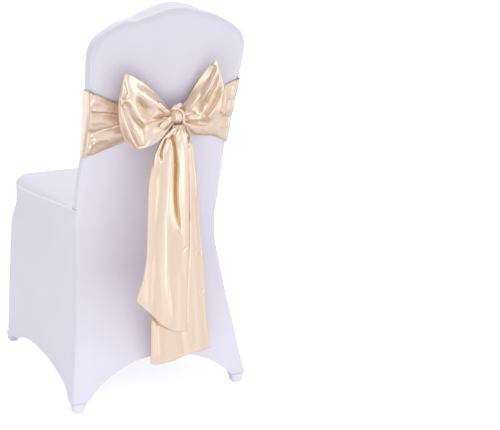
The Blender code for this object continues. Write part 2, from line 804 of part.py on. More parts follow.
def make_band(material, parent):
    steps = {0: BAND_REAR_STEPS, 2: 1, 4: BAND_FRONT_STEPS, 6: 1, 8: BAND_REAR_STEPS}
    places = [0.0]
    for run in range(9):
        places += even(run, run + 1.0, steps.get(run, BAND_CORNER_STEPS))[1:]
    parts = []
    for low, high in zip(BAND_CREASES, BAND_CREASES[1:]):
        parts += [low, mix(low, high, 0.5)]
    parts.append(1.0)

    def point(place, part):
        height = mix(smooth(BAND, "low", place), smooth(BAND, "high", place), part)
        spot, out = band_path(height, place)
        proud = smooth(BAND, "pleat", place) * pleat_share(part)
        spot += out * (proud + smooth(BAND, "lift", place))
        return spot.x, spot.y, height

    mesh = grid_mesh(places, parts, point)
    return cloth_object("sash_band", mesh, SASH_CLOTH, material, parent, flipped=True)


def loop_point(ribs, side, turn, across):
    """Point of a bow loop; turn goes from -1 at the knot, 0 at the outer fold, to 1 behind."""
    out = math.cos(turn * math.pi / 2)
    knot = KNOT_CENTRE + Vector((
        side * LOOP_KNOT_GAP, 0.0, mix(LOOP_KNOT_HALF_HEIGHT, -LOOP_KNOT_HALF_HEIGHT, across)
    ))
    fold_x = smooth(ribs, "fold_x", across)
    fold_z = smooth(ribs, "fold_z", across)
    middle_x = smooth(ribs, "middle_x", across)
    middle_z = smooth(ribs, "middle_z", across)
    bow = (1 - out) ** 2, 2 * out * (1 - out), out * out
    x = bow[0] * knot.x + bow[1] * middle_x + bow[2] * fold_x
    z = bow[0] * knot.z + bow[1] * middle_z + bow[2] * fold_z
    centre_y = mix(knot.y, smooth(ribs, "fold_y", across), out ** 1.3)
    half_gap = LOOP_KNOT_HALF_DEPTH + smooth(ribs, "gap", across) * out
    side_of_loop = math.copysign(math.sqrt(max(1.0 - out, 0.0)), turn)
    fading = (1.0 - out) ** 0.7 * min(1.0, 0.55 + 3.0 * out)
    pleat = LOOP_PLEAT * math.cos(2 * math.pi * LOOP_PLEATS * across) * fading
    y = centre_y + half_gap * side_of_loop + pleat * (1.0 if turn < 0 else 0.6)
    return x, y, z


def make_loop(name, ribs, side, material, parent):
    turns = [i / LOOP_RUN_STEPS for i in range(-LOOP_RUN_STEPS, LOOP_RUN_STEPS + 1)]
    mesh = grid_mesh(
        turns, even(0.0, 1.0, LOOP_ACROSS_STEPS),
        lambda turn, across: loop_point(ribs, side, turn, across)
    )
    return cloth_object(name, mesh, SASH_CLOTH, material, parent, flipped=side < 0)


def make_knot(material, parent):
    """Small wound lump with slanting ridges."""
    mesh = bmesh.new()
    bmesh.ops.create_uvsphere(mesh, u_segments=18, v_segments=12, radius=1.0)
    for vertex in mesh.verts:
        around = math.atan2(vertex.co.y, vertex.co.x)
        slant = KNOT_RIDGES * around + KNOT_SLANT * vertex.co.z
        flatness = 1.0 - vertex.co.z ** 4
        swell = 1.0 - KNOT_RIDGE_DEPTH * (1.0 - math.cos(slant)) * flatness
        vertex.co = Vector(a * b * swell for a, b in zip(vertex.co, KNOT_RADII)) + KNOT_CENTRE
    data = bpy.data.meshes.new("bow_knot")
    mesh.to_mesh(data)
    mesh.free()
    data.materials.append(material)
    data.shade_smooth()
    knot = bpy.data.objects.new("bow_knot", data)
    knot.parent = parent
    bpy.data.collections[OBJECT_NAME].objects.link(knot)
    return knot


def fold_depth(folds, x, below_knot):
    """Sum of the folds of a tail at x, a given fall below its top."""
    total = 0.0
    for fold in folds:
        away = (x - fold.x - fold.drift * below_knot) / fold.half_width
        present = ease(below_knot / fold.grown) * (1.0 - ease(below_knot / fold.gone))
        total += fold.depth * math.exp(-away * away) * present
    return total


def make_tail(name, stations, hem, folds, depth, material, parent):
    """Hanging end of the sash, from under the knot down to its slanting hem."""
    top = stations[0].height
    upward = sorted(stations)

    def point(across, down):
        height = mix(top, smooth(hem, "height", across), down)
        left = smooth(upward, "left", height)
        right = smooth(upward, "right", height)
        x = mix(left, right, across)
        below = top - height
        gather = TAIL_GATHER * math.cos(2 * math.pi * TAIL_GATHER_PLEATS * across)
        gather *= math.exp(-below / TAIL_GATHER_LENGTH)
        return x, depth + gather + fold_depth(folds, x, below), height

    mesh = grid_mesh(even(0.0, 1.0, TAIL_COLUMNS), even(1.0, 0.0, TAIL_ROWS), point)
    return cloth_object(name, mesh, SASH_CLOTH, material, parent)


def make_tails(material, parent):
    make_tail(
        "tail_front", FRONT_TAIL, FRONT_TAIL_HEM, FRONT_TAIL_FOLDS,
        KNOT_CENTRE.y - FRONT_TAIL_OUT, material, parent
    )
    make_tail(
        "tail_rear", REAR_TAIL, REAR_TAIL_HEM, REAR_TAIL_FOLDS,
        KNOT_CENTRE.y + REAR_TAIL_IN, material, parent
    )


def build():
    clear_scene()
    collection = bpy.data.collections.new(OBJECT_NAME)
    bpy.context.scene.collection.children.link(collection)
    waist = bpy.data.objects.new("waist", None)
    waist.location = (0.0, WAIST_Y, 0.0)
    collection.objects.link(waist)

    cloth = make_material("white_stretch_cloth", WHITE_CLOTH, 0.85)
    make_back_panel(cloth, waist)
    make_inner_back_panel(cloth, waist)
    make_seat_panel(cloth, waist)
    make_side_skirt("skirt_left", -1, cloth, waist)
    make_side_skirt("skirt_right", 1, cloth, waist)
    make_front_skirt(cloth, waist)
    make_foot_pockets(cloth, waist)

    satin = make_material("champagne_satin", CHAMPAGNE_SATIN, 0.35)
    make_band(satin, waist)
    make_loop("bow_loop_left", LEFT_LOOP, -1, satin, waist)
    make_loop("bow_loop_right", RIGHT_LOOP, 1, satin, waist)
    make_knot(satin, waist)
    make_tails(satin, waist)


build()
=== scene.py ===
"""Stretch chair cover with a satin sash tied in a bow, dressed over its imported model.

Tables give y from the narrowest place of the rear, the waist, as a tailor would measure
the cover; WAIST_Y moves every finished sheet into the model's own frame.
"""
import math
from collections import namedtuple

import bpy
import numpy as np
from mathutils import Matrix, Vector


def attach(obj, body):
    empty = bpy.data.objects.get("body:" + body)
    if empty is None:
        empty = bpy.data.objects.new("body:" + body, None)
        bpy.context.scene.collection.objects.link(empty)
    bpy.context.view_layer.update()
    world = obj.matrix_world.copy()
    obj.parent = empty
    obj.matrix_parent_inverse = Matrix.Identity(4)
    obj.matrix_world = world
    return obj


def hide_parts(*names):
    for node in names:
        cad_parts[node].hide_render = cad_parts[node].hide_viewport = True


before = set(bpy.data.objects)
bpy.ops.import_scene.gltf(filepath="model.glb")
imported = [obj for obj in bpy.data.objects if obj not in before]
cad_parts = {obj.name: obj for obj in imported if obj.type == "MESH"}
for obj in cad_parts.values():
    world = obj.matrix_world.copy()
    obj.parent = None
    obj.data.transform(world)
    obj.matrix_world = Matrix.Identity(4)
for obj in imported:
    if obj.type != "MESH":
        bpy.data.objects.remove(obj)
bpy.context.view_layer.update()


def table(columns, *rows):
    """Rows of values, with a name for each column."""
    row = namedtuple("Row", columns)
    return [row(*values) for values in rows]


WAIST_Y = -0.1398
MERGE_DISTANCE = 0.00005
NO_LENGTH = 1e-12
SMOOTH_ANGLE = math.radians(60.0)

# Colours of the two cloths, the painted seam highlight and the painted golden fold shade, and how
# their threads run
KNIT_SHADE = (0.80, 0.78, 0.91, 1.0)
KNIT_LIGHT = (0.83, 0.81, 0.93, 1.0)
# Painted highlight laid along the cover's seams, where the rolled allowance would catch the light
SEAM_HIGHLIGHT_TINT = (0.92, 0.905, 1.00, 1.0)
SATIN_SHADE = (0.88, 0.71, 0.590, 1.0)
SATIN_LIGHT = (0.92, 0.755, 0.645, 1.0)
# Painted golden shade for the satin deep in its folds and along its cut edges
SATIN_FOLD_SHADE = (0.70, 0.49, 0.20, 1.0)
STREAK_SCALE = (60.0, 60.0, 3.0)
THREAD_SCALE = (1500.0, 90.0, 1.0)
KNIT_SCALE = 420.0
GRAIN_DEPTH = 0.0002

# Cloth of the cover, and its seams: the gap between two panels, how far and how steeply
# they lead away from it, the roll over the turned allowance and the painted highlight beside it
COVER_CLOTH = 0.0012
SEAM_GAP = 0.00015
SEAM_LEAD = 0.0023
SEAM_LEAD_POINTS = 9
SEAM_ANGLE = math.radians(50.0)
SEAM_ROLL = 0.0017
SEAM_ROLL_WIDTH = 0.0020
SEAM_HIGHLIGHT_WIDTH = 0.0030
SEAM_HIGHLIGHT_FADE = 0.03
CROWN_HIGHLIGHT_LOWEST = 0.880

# Backrest: its edge is full above the seat and slim down the legs
BACKREST_DEPTH = 0.041
BACK_EDGE_RADIUS = 0.018
GUSSET_REAR_RADIUS = 0.005
GUSSET_FRONT_RADIUS = 0.013
BACK_EDGE_STEPS = 10
GUSSET_REAR_STEPS = 4
GUSSET_FRONT_STEPS = 9
LEG_EDGE_SHARE = 0.30
LEG_EDGE_TOP = 0.42
LEG_EDGE_FADE = 0.14
SHOULDER_START = 0.830
SHOULDER_HEIGHT = 0.889
CROWN_COLUMNS = 86
LEG_ROWS = 90
STRAIGHT_ROWS = 56
SHOULDER_ROWS = 18
CROWN_DOME_START = 0.87
CROWN_DOME_FADE = 0.05

# Seat and skirts; the skirts' plan is taken at HEM_PLAN_HEIGHT to find their hem, and the
# rows are evenly spaced up to EVEN_SKIRT of their height
LEG_CORNER_RADIUS = 0.005
SEAT_LINE = 0.478
SEAT_REAR_Y = 0.009
HEM_PLAN_HEIGHT = 0.05
FRONT_ARCH_SPREAD = 1.04
EVEN_SKIRT = 0.97
EVEN_SKIRT_ROWS = 80
SEAM_ROWS = 14
LEAD_END = 0.499
LEAD_COLUMNS = 8
REAR_CORNER_COLUMNS = 6
SIDE_COLUMNS = 74
SIDE_CORNER_COLUMNS = 16
FRONT_CORNER_COLUMNS = 14
FRONT_COLUMNS = 54
SEAT_SIDE_POINTS = 66
SEAT_CORNER_POINTS = 18
SEAT_FRONT_POINTS = 62
SEAT_COLLAR_ROWS = 7

# Hems: double cloth, stepped at its upper side, with a stitched groove below the step
HEM_DEPTH = 0.009
HEM_THICKENING = 0.0005
HEM_STEP = 0.002
STITCH_INSET = 0.0025
STITCH_GROOVE = 0.0003
STITCH_WIDTH = 0.0009

# Foot pockets: the taper is the sole's share of the rim's width, the lean moves the sole
# outwards by a share of what the taper takes, and a roundness of 1 would make them oval
POCKET_WIDTH = 0.036
POCKET_DEPTH = 0.031
POCKET_TOP = 0.0276
POCKET_TAPER = 0.74
POCKET_LEAN = 0.35
POCKET_FLARE = 0.0012
POCKET_TUCK = 0.0030
POCKET_TUCK_WIDTH = 0.0008
POCKET_ROLL_DROP = 0.0015
POCKET_EDGE = 0.009
POCKET_TURN = 0.34
POCKET_ROUNDNESS = 0.625
POCKET_WALL_RINGS = 16
POCKET_TURN_RINGS = 10
POCKET_POINTS = 65

# Sash
SASH_CLOTH = 0.0009
SASH_STAND_OFF = 0.0022
BAND_CORNER_RADIUS = 0.010
KNOT_CENTRE = Vector((0.0205, -0.112, 0.6965))
KNOT_NUB = (0.0130, -0.1200, 0.6990)
KNOT_HALF_SIZE = (0.0130, 0.0180, 0.0145)
KNOT_ROUNDNESS = (0.85, 1.0, 0.80)
KNOT_FACE_FADE = 0.4
KNOT_SEGMENTS = 180
KNOT_RINGS = 120

# Section and ends of the strips wound round the knot
STRIP_POINTS = 49
STRIP_BLUNTNESS = 5
STRIP_CREASE_DEPTH = 0.45
STRIP_CREASE_PLACE = 0.25
STRIP_CREASE_WIDTH = 0.22

# Rear of the cover by height: half its width from seam to seam, and how far back it is
REAR = table(
    "height half_width rear_y",
    (0.000, 0.2335, -0.0885),
    (0.030, 0.2290, -0.0831),
    (0.080, 0.2205, -0.0711),
    (0.150, 0.2100, -0.0562),
    (0.220, 0.1992, -0.0374),
    (0.300, 0.1897, -0.0167),
    (0.370, 0.1828, -0.0020),
    (0.420, 0.1820, 0.0000),
    (0.470, 0.1842, -0.0089),
    (0.540, 0.1838, -0.0257),
    (0.620, 0.1806, -0.0500),
    (0.700, 0.1800, -0.0760),
    (0.780, 0.1842, -0.1000),
    (0.830, 0.1872, -0.1130),
    (0.850, 0.1866, -0.1170),
    (0.868, 0.1812, -0.1205),
    (0.881, 0.1730, -0.1230),
    (SHOULDER_HEIGHT, 0.1640, -0.1245),
    (0.945, 0.1600, -0.1340),
)
# Thickness of the dressed backrest by height
BACKREST = table(
    "height depth",
    (0.478, 0.0330),
    (0.515, 0.0300),
    (0.560, 0.0265),
    (0.600, 0.0240),
    (0.630, 0.0245),
    (0.655, 0.0280),
    (0.680, 0.0335),
    (0.710, 0.0380),
    (0.760, BACKREST_DEPTH),
    (0.940, BACKREST_DEPTH),
)
# Crown of the rear panel, from its middle out to the shoulder
CROWN = table(
    "across height",
    (0.000, 0.9400),
    (0.022, 0.9385),
    (0.045, 0.9325),
    (0.066, 0.9255),
    (0.084, 0.9190),
    (0.100, 0.9165),
    (0.120, 0.9115),
    (0.143, 0.9020),
    (0.1640, SHOULDER_HEIGHT),
)
# How much higher the worn cover's crown stands than the even one, from left to right
CROWN_PULL = table(
    "across height",
    (-0.1640, 0.0000),
    (-0.1500, 0.0000),
    (-0.1200, 0.0016),
    (-0.0930, -0.0020),
    (-0.0400, -0.0040),
    (0.0000, -0.0004),
    (0.0210, 0.0014),
    (0.0420, 0.0034),
    (0.0685, 0.0056),
    (0.0840, 0.0085),
    (0.1020, 0.0056),
    (0.1275, 0.0018),
    (0.1500, 0.0000),
    (0.1640, 0.0000),
)
# How much higher the crown stands at the front of the backrest than at its rear seam
CROWN_DOME = table(
    "across height",
    (-0.1640, 0.0000),
    (-0.1180, 0.0000),
    (-0.0930, 0.0055),
    (-0.0760, 0.0105),
    (-0.0600, 0.0130),
    (-0.0135, 0.0148),
    (0.0231, 0.0116),
    (0.0580, 0.0102),
    (0.0720, 0.0060),
    (0.0880, 0.0000),
    (0.1640, 0.0000),
)
# Front of the cover by height: half its width, how far forward it is, and its corners
FRONT = table(
    "height half_width front_y radius",
    (0.000, 0.2235, 0.4385, 0.018),
    (0.150, 0.2170, 0.4320, 0.018),
    (0.266, 0.2125, 0.4240, 0.018),
    (0.337, 0.2095, 0.4190, 0.020),
    (0.363, 0.2075, 0.4190, 0.026),
    (0.382, 0.2035, 0.4210, 0.036),
    (0.401, 0.1995, 0.4230, 0.045),
    (0.430, 0.1982, 0.4240, 0.048),
    (0.480, 0.1980, 0.4240, 0.048),
)
# Hems: the rear one and the front one by how far out from the middle, the side ones by y
LEG_HEM = 0.0279
REAR_HEM = table(
    "place height",
    (0.000, 0.1100),
    (0.057, 0.1040),
    (0.087, 0.0950),
    (0.120, 0.0810),
    (0.150, 0.0650),
    (0.172, 0.0480),
    (0.190, 0.0310),
    (0.196, LEG_HEM),
    (0.240, LEG_HEM),
)
SIDE_HEM = table(
    "place height",
    (-0.090, LEG_HEM),
    (-0.050, LEG_HEM),
    (-0.040, 0.0420),
    (-0.021, 0.0540),
    (0.030, 0.0655),
    (0.090, 0.0742),
    (0.170, 0.0770),
    (0.240, 0.0710),
    (0.300, 0.0560),
    (0.345, 0.0390),
    (0.385, 0.0300),
    (0.400, LEG_HEM),
    (0.450, LEG_HEM),
)
# Seat by y: the height of the seam round it, and how far the panel rises above that
SEAT = table(
    "place seam_height rise",
    (0.000, 0.4770, 0.0060),
    (0.060, 0.4725, 0.0120),
    (0.125, 0.4670, 0.0160),
    (0.254, 0.4560, 0.0210),
    (0.328, 0.4520, 0.0230),
    (0.430, 0.4510, 0.0240),
)
SEAT_EDGE_RUN = 0.040
SEAT_COLLAR = 0.003
SEAT_REAR_RUN = 0.070

# Sash band, by its runs: 0-1 rear left, 2-3 left side, 4-5 front, 6-7 right side, 8-9 rear
# right, with a corner between each two: its lower and upper edges, how proud its pleats
# are, and how far it is lifted off the cover
BAND = table(
    "place low high pleat lift",
    (0.00, 0.6830, 0.7120, 0.0040, 0.0030),
    (0.15, 0.6700, 0.7160, 0.0045, 0.0010),
    (0.47, 0.6420, 0.7270, 0.0040, 0.0000),
    (0.75, 0.6260, 0.7400, 0.0030, 0.0000),
    (1.00, 0.6130, 0.7590, 0.0015, 0.0000),
    (2.00, 0.6080, 0.7660, 0.0012, 0.0000),
    (4.50, 0.6130, 0.7640, 0.0012, 0.0000),
    (7.00, 0.6140, 0.7720, 0.0012, 0.0000),
    (8.00, 0.6200, 0.7690, 0.0015, 0.0000),
    (8.25, 0.6340, 0.7560, 0.0035, 0.0000),
    (8.60, 0.6400, 0.7340, 0.0040, 0.0000),
    (8.85, 0.6620, 0.7180, 0.0045, 0.0010),
    (9.00, 0.6790, 0.7140, 0.0040, 0.0030),
)
BAND_LEFT_START = 0.001
BAND_RIGHT_END = 0.041
BAND_STEPS = (109, 16, 14, 12, 80, 12, 14, 16, 90)
BAND_ROWS = 81
BAND_CREASES = (0.0, 0.40, 0.69, 1.0)
BAND_PLEAT_LEAN = 0.75
BAND_DEEPEST = 0.0028
BAND_RIPPLE = 0.0003

# Loops by lines across the strip: where each one turns at the outer fold, the middle
# point that it is drawn towards, and how far the loop is open there
LEFT_LOOP = table(
    "across fold_x fold_y fold_z middle_x middle_z gap",
    (0.00, -0.1215, -0.1490, 0.8080, -0.0500, 0.7780, 0.016),
    (0.18, -0.1290, -0.1490, 0.7800, -0.0620, 0.7600, 0.030),
    (0.38, -0.1340, -0.1440, 0.7470, -0.0680, 0.7280, 0.036),
    (0.60, -0.1290, -0.1330, 0.7060, -0.0660, 0.6920, 0.036),
    (0.82, -0.1120, -0.1190, 0.6620, -0.0560, 0.6480, 0.030),
    (1.00, -0.0880, -0.1120, 0.6340, -0.0420, 0.6280, 0.020),
)
RIGHT_LOOP = table(
    "across fold_x fold_y fold_z middle_x middle_z gap",
    (0.00, 0.0985, -0.1520, 0.8235, 0.0660, 0.7880, 0.007),
    (0.20, 0.1100, -0.1500, 0.7920, 0.0730, 0.7580, 0.022),
    (0.40, 0.1230, -0.1440, 0.7620, 0.0790, 0.7300, 0.031),
    (0.62, 0.1350, -0.1320, 0.7200, 0.0830, 0.7020, 0.034),
    (0.82, 0.1230, -0.1210, 0.6840, 0.0800, 0.6760, 0.028),
    (1.00, 0.0970, -0.1150, 0.6620, 0.0620, 0.6640, 0.018),
)
LOOP_ROWS = 151
LOOP_COLUMNS = 209
LOOP_KNOT_GAP = 0.0140
LOOP_KNOT_HALF_HEIGHT = 0.0145
LOOP_KNOT_HALF_DEPTH = 0.0080
LOOP_EDGE_PRESSED = 0.35
LOOP_EDGE_RUN = 0.25
LOOP_PLEAT = 0.0035
LOOP_PLEATS = 2.5
LOOP_PLEAT_FADE = 0.7
LOOP_PLEAT_AT_KNOT = 0.55
LOOP_PLEAT_GROWTH = 3.0
LOOP_LEAN = 1.3
LOOP_GATHER = 0.0012
LOOP_GATHERS = 6.0
LOOP_GATHER_RUN = 0.22
LOOP_REAR_PLEAT = 0.6
LOOP_FACE_FADE = 0.16
LOOP_RIPPLE = 0.00025

# Tails by height, with their left and right edges, then their hems from left to right
FRONT_TAIL = table(
    "height left right",
    (0.6740, 0.0060, 0.0330),
    (0.6500, -0.0220, 0.0400),
    (0.5950, -0.0460, 0.0440),
    (0.5400, -0.0560, 0.0460),
    (0.4800, -0.0580, 0.0480),
    (0.3950, -0.0600, 0.0490),
    (0.3360, -0.0680, 0.0480),
    (0.2760, -0.0860, 0.0450),
    (0.1810, -0.0900, 0.0460),
)
REAR_TAIL = table(
    "height left right",
    (0.6740, 0.0100, 0.0380),
    (0.6449, -0.0060, 0.0585),
    (0.6025, -0.0200, 0.0704),
    (0.5330, -0.0290, 0.0797),
    (0.4553, -0.0330, 0.0877),
    (0.4021, -0.0340, 0.0923),
    (0.3181, -0.0360, 0.1019),
    (0.2134, -0.0375, 0.1091),
    (0.1000, -0.0390, 0.1260),
)
FRONT_TAIL_HEM = table(
    "across height",
    (0.00, 0.2764),
    (0.29, 0.2403),
    (0.53, 0.2071),
    (0.78, 0.1865),
    (1.00, 0.1816),
)
REAR_TAIL_HEM = table(
    "across height",
    (0.00, 0.1054),
    (0.15, 0.0995),
    (0.33, 0.1005),
    (0.64, 0.1125),
    (1.00, 0.1184),
)
# Soft folds that run down the tails: x at the knot and how it drifts on the way down, size,
# and how far below the knot each one is full and has gone; a depth below 0 stands proud
FRONT_TAIL_FOLDS = table(
    "x drift half_width depth grown gone",
    (0.0100, 0.10, 0.0110, 0.0030, 0.05, 0.30),
    (0.0040, -0.03, 0.0150, -0.0020, 0.10, 1.20),
    (-0.0200, -0.05, 0.0120, 0.0010, 0.08, 0.60),
    (0.0420, 0.00, 0.0080, -0.0015, 0.12, 0.90),
    (-0.0450, -0.02, 0.0110, -0.0020, 0.20, 1.20),
)
REAR_TAIL_FOLDS = table(
    "x drift half_width depth grown gone",
    (0.0500, 0.08, 0.0120, -0.0015, 0.06, 1.20),
    (0.0640, 0.08, 0.0120, 0.0025, 0.06, 0.90),
    (0.0000, 0.00, 0.0180, 0.0025, 0.15, 1.20),
    (0.0450, -0.02, 0.0200, 0.0025, 0.20, 1.20),
)
TAIL_GATHER = 0.0025
TAIL_GATHER_PLEATS = 2.5
TAIL_GATHER_LENGTH = 0.10
FRONT_TAIL_OUT = 0.014
REAR_TAIL_IN = 0.008
TAIL_TUCK = 0.006
TAIL_COLUMNS = 110
TAIL_ROWS = 274
TAIL_RIPPLE = 0.0001

# Hem of a tail, as on the cover, with stitches that can be counted
TAIL_HEM_DEPTH = 0.0085
TAIL_HEM_THICKENING = 0.0004
TAIL_HEM_STEP = 0.0015
TAIL_STITCH_INSET = 0.0015
TAIL_STITCH_DEPTH = 0.0005
TAIL_STITCH_WIDTH = 0.0008
TAIL_STITCH_SPACING = 0.0042
TAIL_STITCH_DIMPLE = 0.4

# Edges of the satin strip, the width and strength of the painted golden shade along its cut
# edges, how far round a point a hollow is looked for, and how deep one is for full painted shade
SELVAGE_ROLL = 0.0004
SELVAGE_WIDTH = 0.0011
EDGE_SHADE_WIDTH = 0.0024
EDGE_SHADE_STRENGTH = 0.75
FOLD_SHADE_REACH = 0.009
FOLD_SHADE_DEPTH = 0.0050

# Faint waves that a thin satin never loses: radians per metre across and up, and phase
RIPPLE_WAVES = (
    (210.0, 90.0, 0.3), (-120.0, 260.0, 1.9), (330.0, -40.0, 4.1),
    (60.0, 420.0, 2.6), (-480.0, 150.0, 0.9), (250.0, 510.0, 5.2),
)

# Section of a drawn fold: its round crest and its fall, as shares of its width, and the
# share of its run over which it reaches the full width
CREST = 0.35
FOLD_FALL = 0.62
FOLD_SPREAD_RUN = 0.5

# Folds drawn on the satin as seen from behind the chair: the height of each, how far it
# falls away left and right of its line, its share of the full width where it starts, the
# shares of its run over which it rises and dies, and the line in x and z
Fold = namedtuple("Fold", "height left right spread start end path")
LEFT_LOOP_FOLDS = [
    Fold(0.0095, 0.009, 0.013, 0.40, 0.14, 0.35, (
        (-0.0005, 0.6990), (-0.0219, 0.7003), (-0.0446, 0.7015), (-0.0568, 0.7072),
        (-0.0696, 0.7207), (-0.0849, 0.7378), (-0.0939, 0.7550), (-0.0965, 0.7660),
        (-0.0900, 0.7757),
    )),
    Fold(0.0090, 0.011, 0.009, 0.40, 0.12, 0.08, (
        (-0.0080, 0.6965), (-0.0256, 0.6940), (-0.0451, 0.6903), (-0.0610, 0.6860),
        (-0.0700, 0.6764), (-0.0848, 0.6875), (-0.0975, 0.7020), (-0.1068, 0.7205),
        (-0.1133, 0.7336), (-0.1221, 0.7442), (-0.1289, 0.7493),
    )),
    Fold(0.0040, 0.005, 0.007, 1.00, 0.05, 0.08, (
        (-0.1210, 0.8075), (-0.1240, 0.7930), (-0.1220, 0.7754), (-0.1212, 0.7624),
        (-0.1291, 0.7544), (-0.1314, 0.7479),
    )),
    Fold(0.0040, 0.004, 0.003, 0.80, 0.05, 0.10, (
        (-0.1309, 0.7400), (-0.1275, 0.7300), (-0.1196, 0.7091), (-0.1100, 0.6882),
        (-0.0975, 0.6666), (-0.0885, 0.6510), (-0.0805, 0.6377), (-0.0710, 0.6376),
        (-0.0590, 0.6412),
    )),
    Fold(0.0030, 0.003, 0.004, 0.80, 0.10, 0.30, (
        (-0.1225, 0.7319), (-0.1150, 0.7095), (-0.1031, 0.6857), (-0.0937, 0.6653),
    )),
    Fold(0.0030, 0.008, 0.008, 0.80, 0.20, 0.20, (
        (-0.0690, 0.6720), (-0.0662, 0.6600), (-0.0652, 0.6505), (-0.0555, 0.6421),
    )),
    Fold(-0.0070, 0.011, 0.010, 0.50, 0.05, 0.40, (
        (-0.1268, 0.7514), (-0.1161, 0.7460), (-0.1004, 0.7229), (-0.0825, 0.7020),
        (-0.0600, 0.6965),
    )),
    Fold(-0.0050, 0.002, 0.002, 0.80, 0.05, 0.15, (
        (-0.0002, 0.7035), (-0.0151, 0.7145), (-0.0285, 0.7229), (-0.0330, 0.7290),
    )),
    Fold(0.0045, 0.003, 0.004, 0.60, 0.05, 0.15, (
        (-0.0005, 0.7067), (-0.0205, 0.7214), (-0.0291, 0.7296), (-0.0370, 0.7373),
    )),
]
RIGHT_LOOP_FOLDS = [
    Fold(0.0065, 0.005, 0.014, 1.00, 0.08, 0.20, (
        (0.0963, 0.8141), (0.0919, 0.8027), (0.0854, 0.7878), (0.0765, 0.7696),
        (0.0689, 0.7505), (0.0656, 0.7311), (0.0632, 0.7115),
    )),
    Fold(-0.0045, 0.004, 0.004, 1.00, 0.20, 0.20, (
        (0.0942, 0.7882), (0.0863, 0.7694), (0.0769, 0.7520), (0.0687, 0.7331),
        (0.0665, 0.7195),
    )),
    Fold(0.0060, 0.006, 0.005, 0.80, 0.15, 0.10, (
        (0.1046, 0.7988), (0.1019, 0.7871), (0.0951, 0.7692), (0.0840, 0.7484),
        (0.0723, 0.7274), (0.0684, 0.7096), (0.0755, 0.7051),
    )),
    Fold(-0.0035, 0.003, 0.004, 1.00, 0.15, 0.30, (
        (0.1060, 0.7903), (0.0990, 0.7641), (0.0916, 0.7475), (0.0866, 0.7299),
        (0.0810, 0.7177),
    )),
    Fold(0.0060, 0.004, 0.007, 0.80, 0.10, 0.10, (
        (0.1138, 0.7636), (0.1069, 0.7503), (0.1039, 0.7377), (0.0948, 0.7208),
        (0.0827, 0.7066), (0.0742, 0.6960),
    )),
    Fold(-0.0050, 0.009, 0.003, 1.00, 0.10, 0.15, (
        (0.1158, 0.7572), (0.1099, 0.7388), (0.1009, 0.7208), (0.0899, 0.7038),
        (0.0781, 0.6923),
    )),
    Fold(0.0045, 0.004, 0.005, 0.80, 0.10, 0.20, (
        (0.1200, 0.7601), (0.1254, 0.7268), (0.1225, 0.7044), (0.1129, 0.6898),
        (0.0973, 0.6796), (0.0812, 0.6816), (0.0683, 0.6876),
    )),
    Fold(-0.0045, 0.002, 0.002, 0.80, 0.02, 0.20, (
        (0.0400, 0.6957), (0.0504, 0.6944), (0.0739, 0.6934),
    )),
    Fold(0.0040, 0.004, 0.003, 0.60, 0.05, 0.10, (
        (0.0395, 0.6872), (0.0514, 0.6832), (0.0724, 0.6752), (0.0889, 0.6728),
        (0.1046, 0.6761), (0.1185, 0.6866), (0.1258, 0.7039),
    )),
    Fold(0.0040, 0.006, 0.003, 0.50, 0.05, 0.20, (
        (0.0395, 0.7106), (0.0505, 0.7077), (0.0594, 0.7005), (0.0674, 0.6956),
    )),
]
BAND_FOLDS = [
    Fold(0.0030, 0.013, 0.013, 1.00, 0.05, 0.25, (
        (-0.1810, 0.7440), (-0.1400, 0.7360), (-0.1000, 0.7290), (-0.0700, 0.7250),
    )),
    Fold(0.0024, 0.010, 0.010, 1.00, 0.05, 0.25, (
        (-0.1780, 0.6950), (-0.1400, 0.6955), (-0.1000, 0.6990), (-0.0700, 0.7010),
    )),
    Fold(0.0034, 0.014, 0.014, 1.00, 0.05, 0.25, (
        (-0.1720, 0.6450), (-0.1400, 0.6510), (-0.1000, 0.6640), (-0.0700, 0.6720),
    )),
    Fold(0.0040, 0.028, 0.018, 1.00, 0.25, 0.05, ((0.0900, 0.6920), (0.1750, 0.6960))),
    Fold(0.0032, 0.004, 0.003, 1.00, 0.04, 0.06, (
        (-0.1840, 0.7631), (-0.1834, 0.7459), (-0.1808, 0.7226), (-0.1793, 0.7013),
        (-0.1778, 0.6733),
    )),
    Fold(-0.0028, 0.0018, 0.0018, 1.00, 0.05, 0.25, (
        (-0.1790, 0.7200), (-0.1654, 0.7162), (-0.1379, 0.7145), (-0.1136, 0.7102),
        (-0.0800, 0.7070),
    )),
    Fold(0.0034, 0.007, 0.002, 1.00, 0.05, 0.25, (
        (-0.1770, 0.7230), (-0.1654, 0.7190), (-0.1379, 0.7172), (-0.1136, 0.7130),
        (-0.0800, 0.7098),
    )),
    Fold(-0.0028, 0.0018, 0.0018, 1.00, 0.05, 0.25, (
        (-0.1745, 0.6685), (-0.1507, 0.6745), (-0.1248, 0.6802), (-0.1055, 0.6869),
        (-0.0750, 0.6960),
    )),
    Fold(0.0016, 0.002, 0.009, 1.00, 0.05, 0.25, (
        (-0.1720, 0.6650), (-0.1507, 0.6715), (-0.1248, 0.6772), (-0.1055, 0.6839),
        (-0.0750, 0.6930),
    )),
    Fold(0.0026, 0.003, 0.003, 1.00, 0.10, 0.10, (
        (-0.1670, 0.6535), (-0.1605, 0.6470), (-0.1690, 0.6375), (-0.1715, 0.6294),
        (-0.1700, 0.6180),
    )),
    Fold(0.0018, 0.004, 0.003, 1.00, 0.10, 0.30, (
        (-0.1740, 0.6641), (-0.1589, 0.6540), (-0.1299, 0.6490),
    )),
    Fold(0.0020, 0.002, 0.005, 1.00, 0.10, 0.10, ((0.1540, 0.6572), (0.1769, 0.6560))),
    Fold(0.0020, 0.006, 0.004, 1.00, 0.10, 0.10, (
        (0.1636, 0.7583), (0.1673, 0.7181), (0.1650, 0.6921),
    )),
]
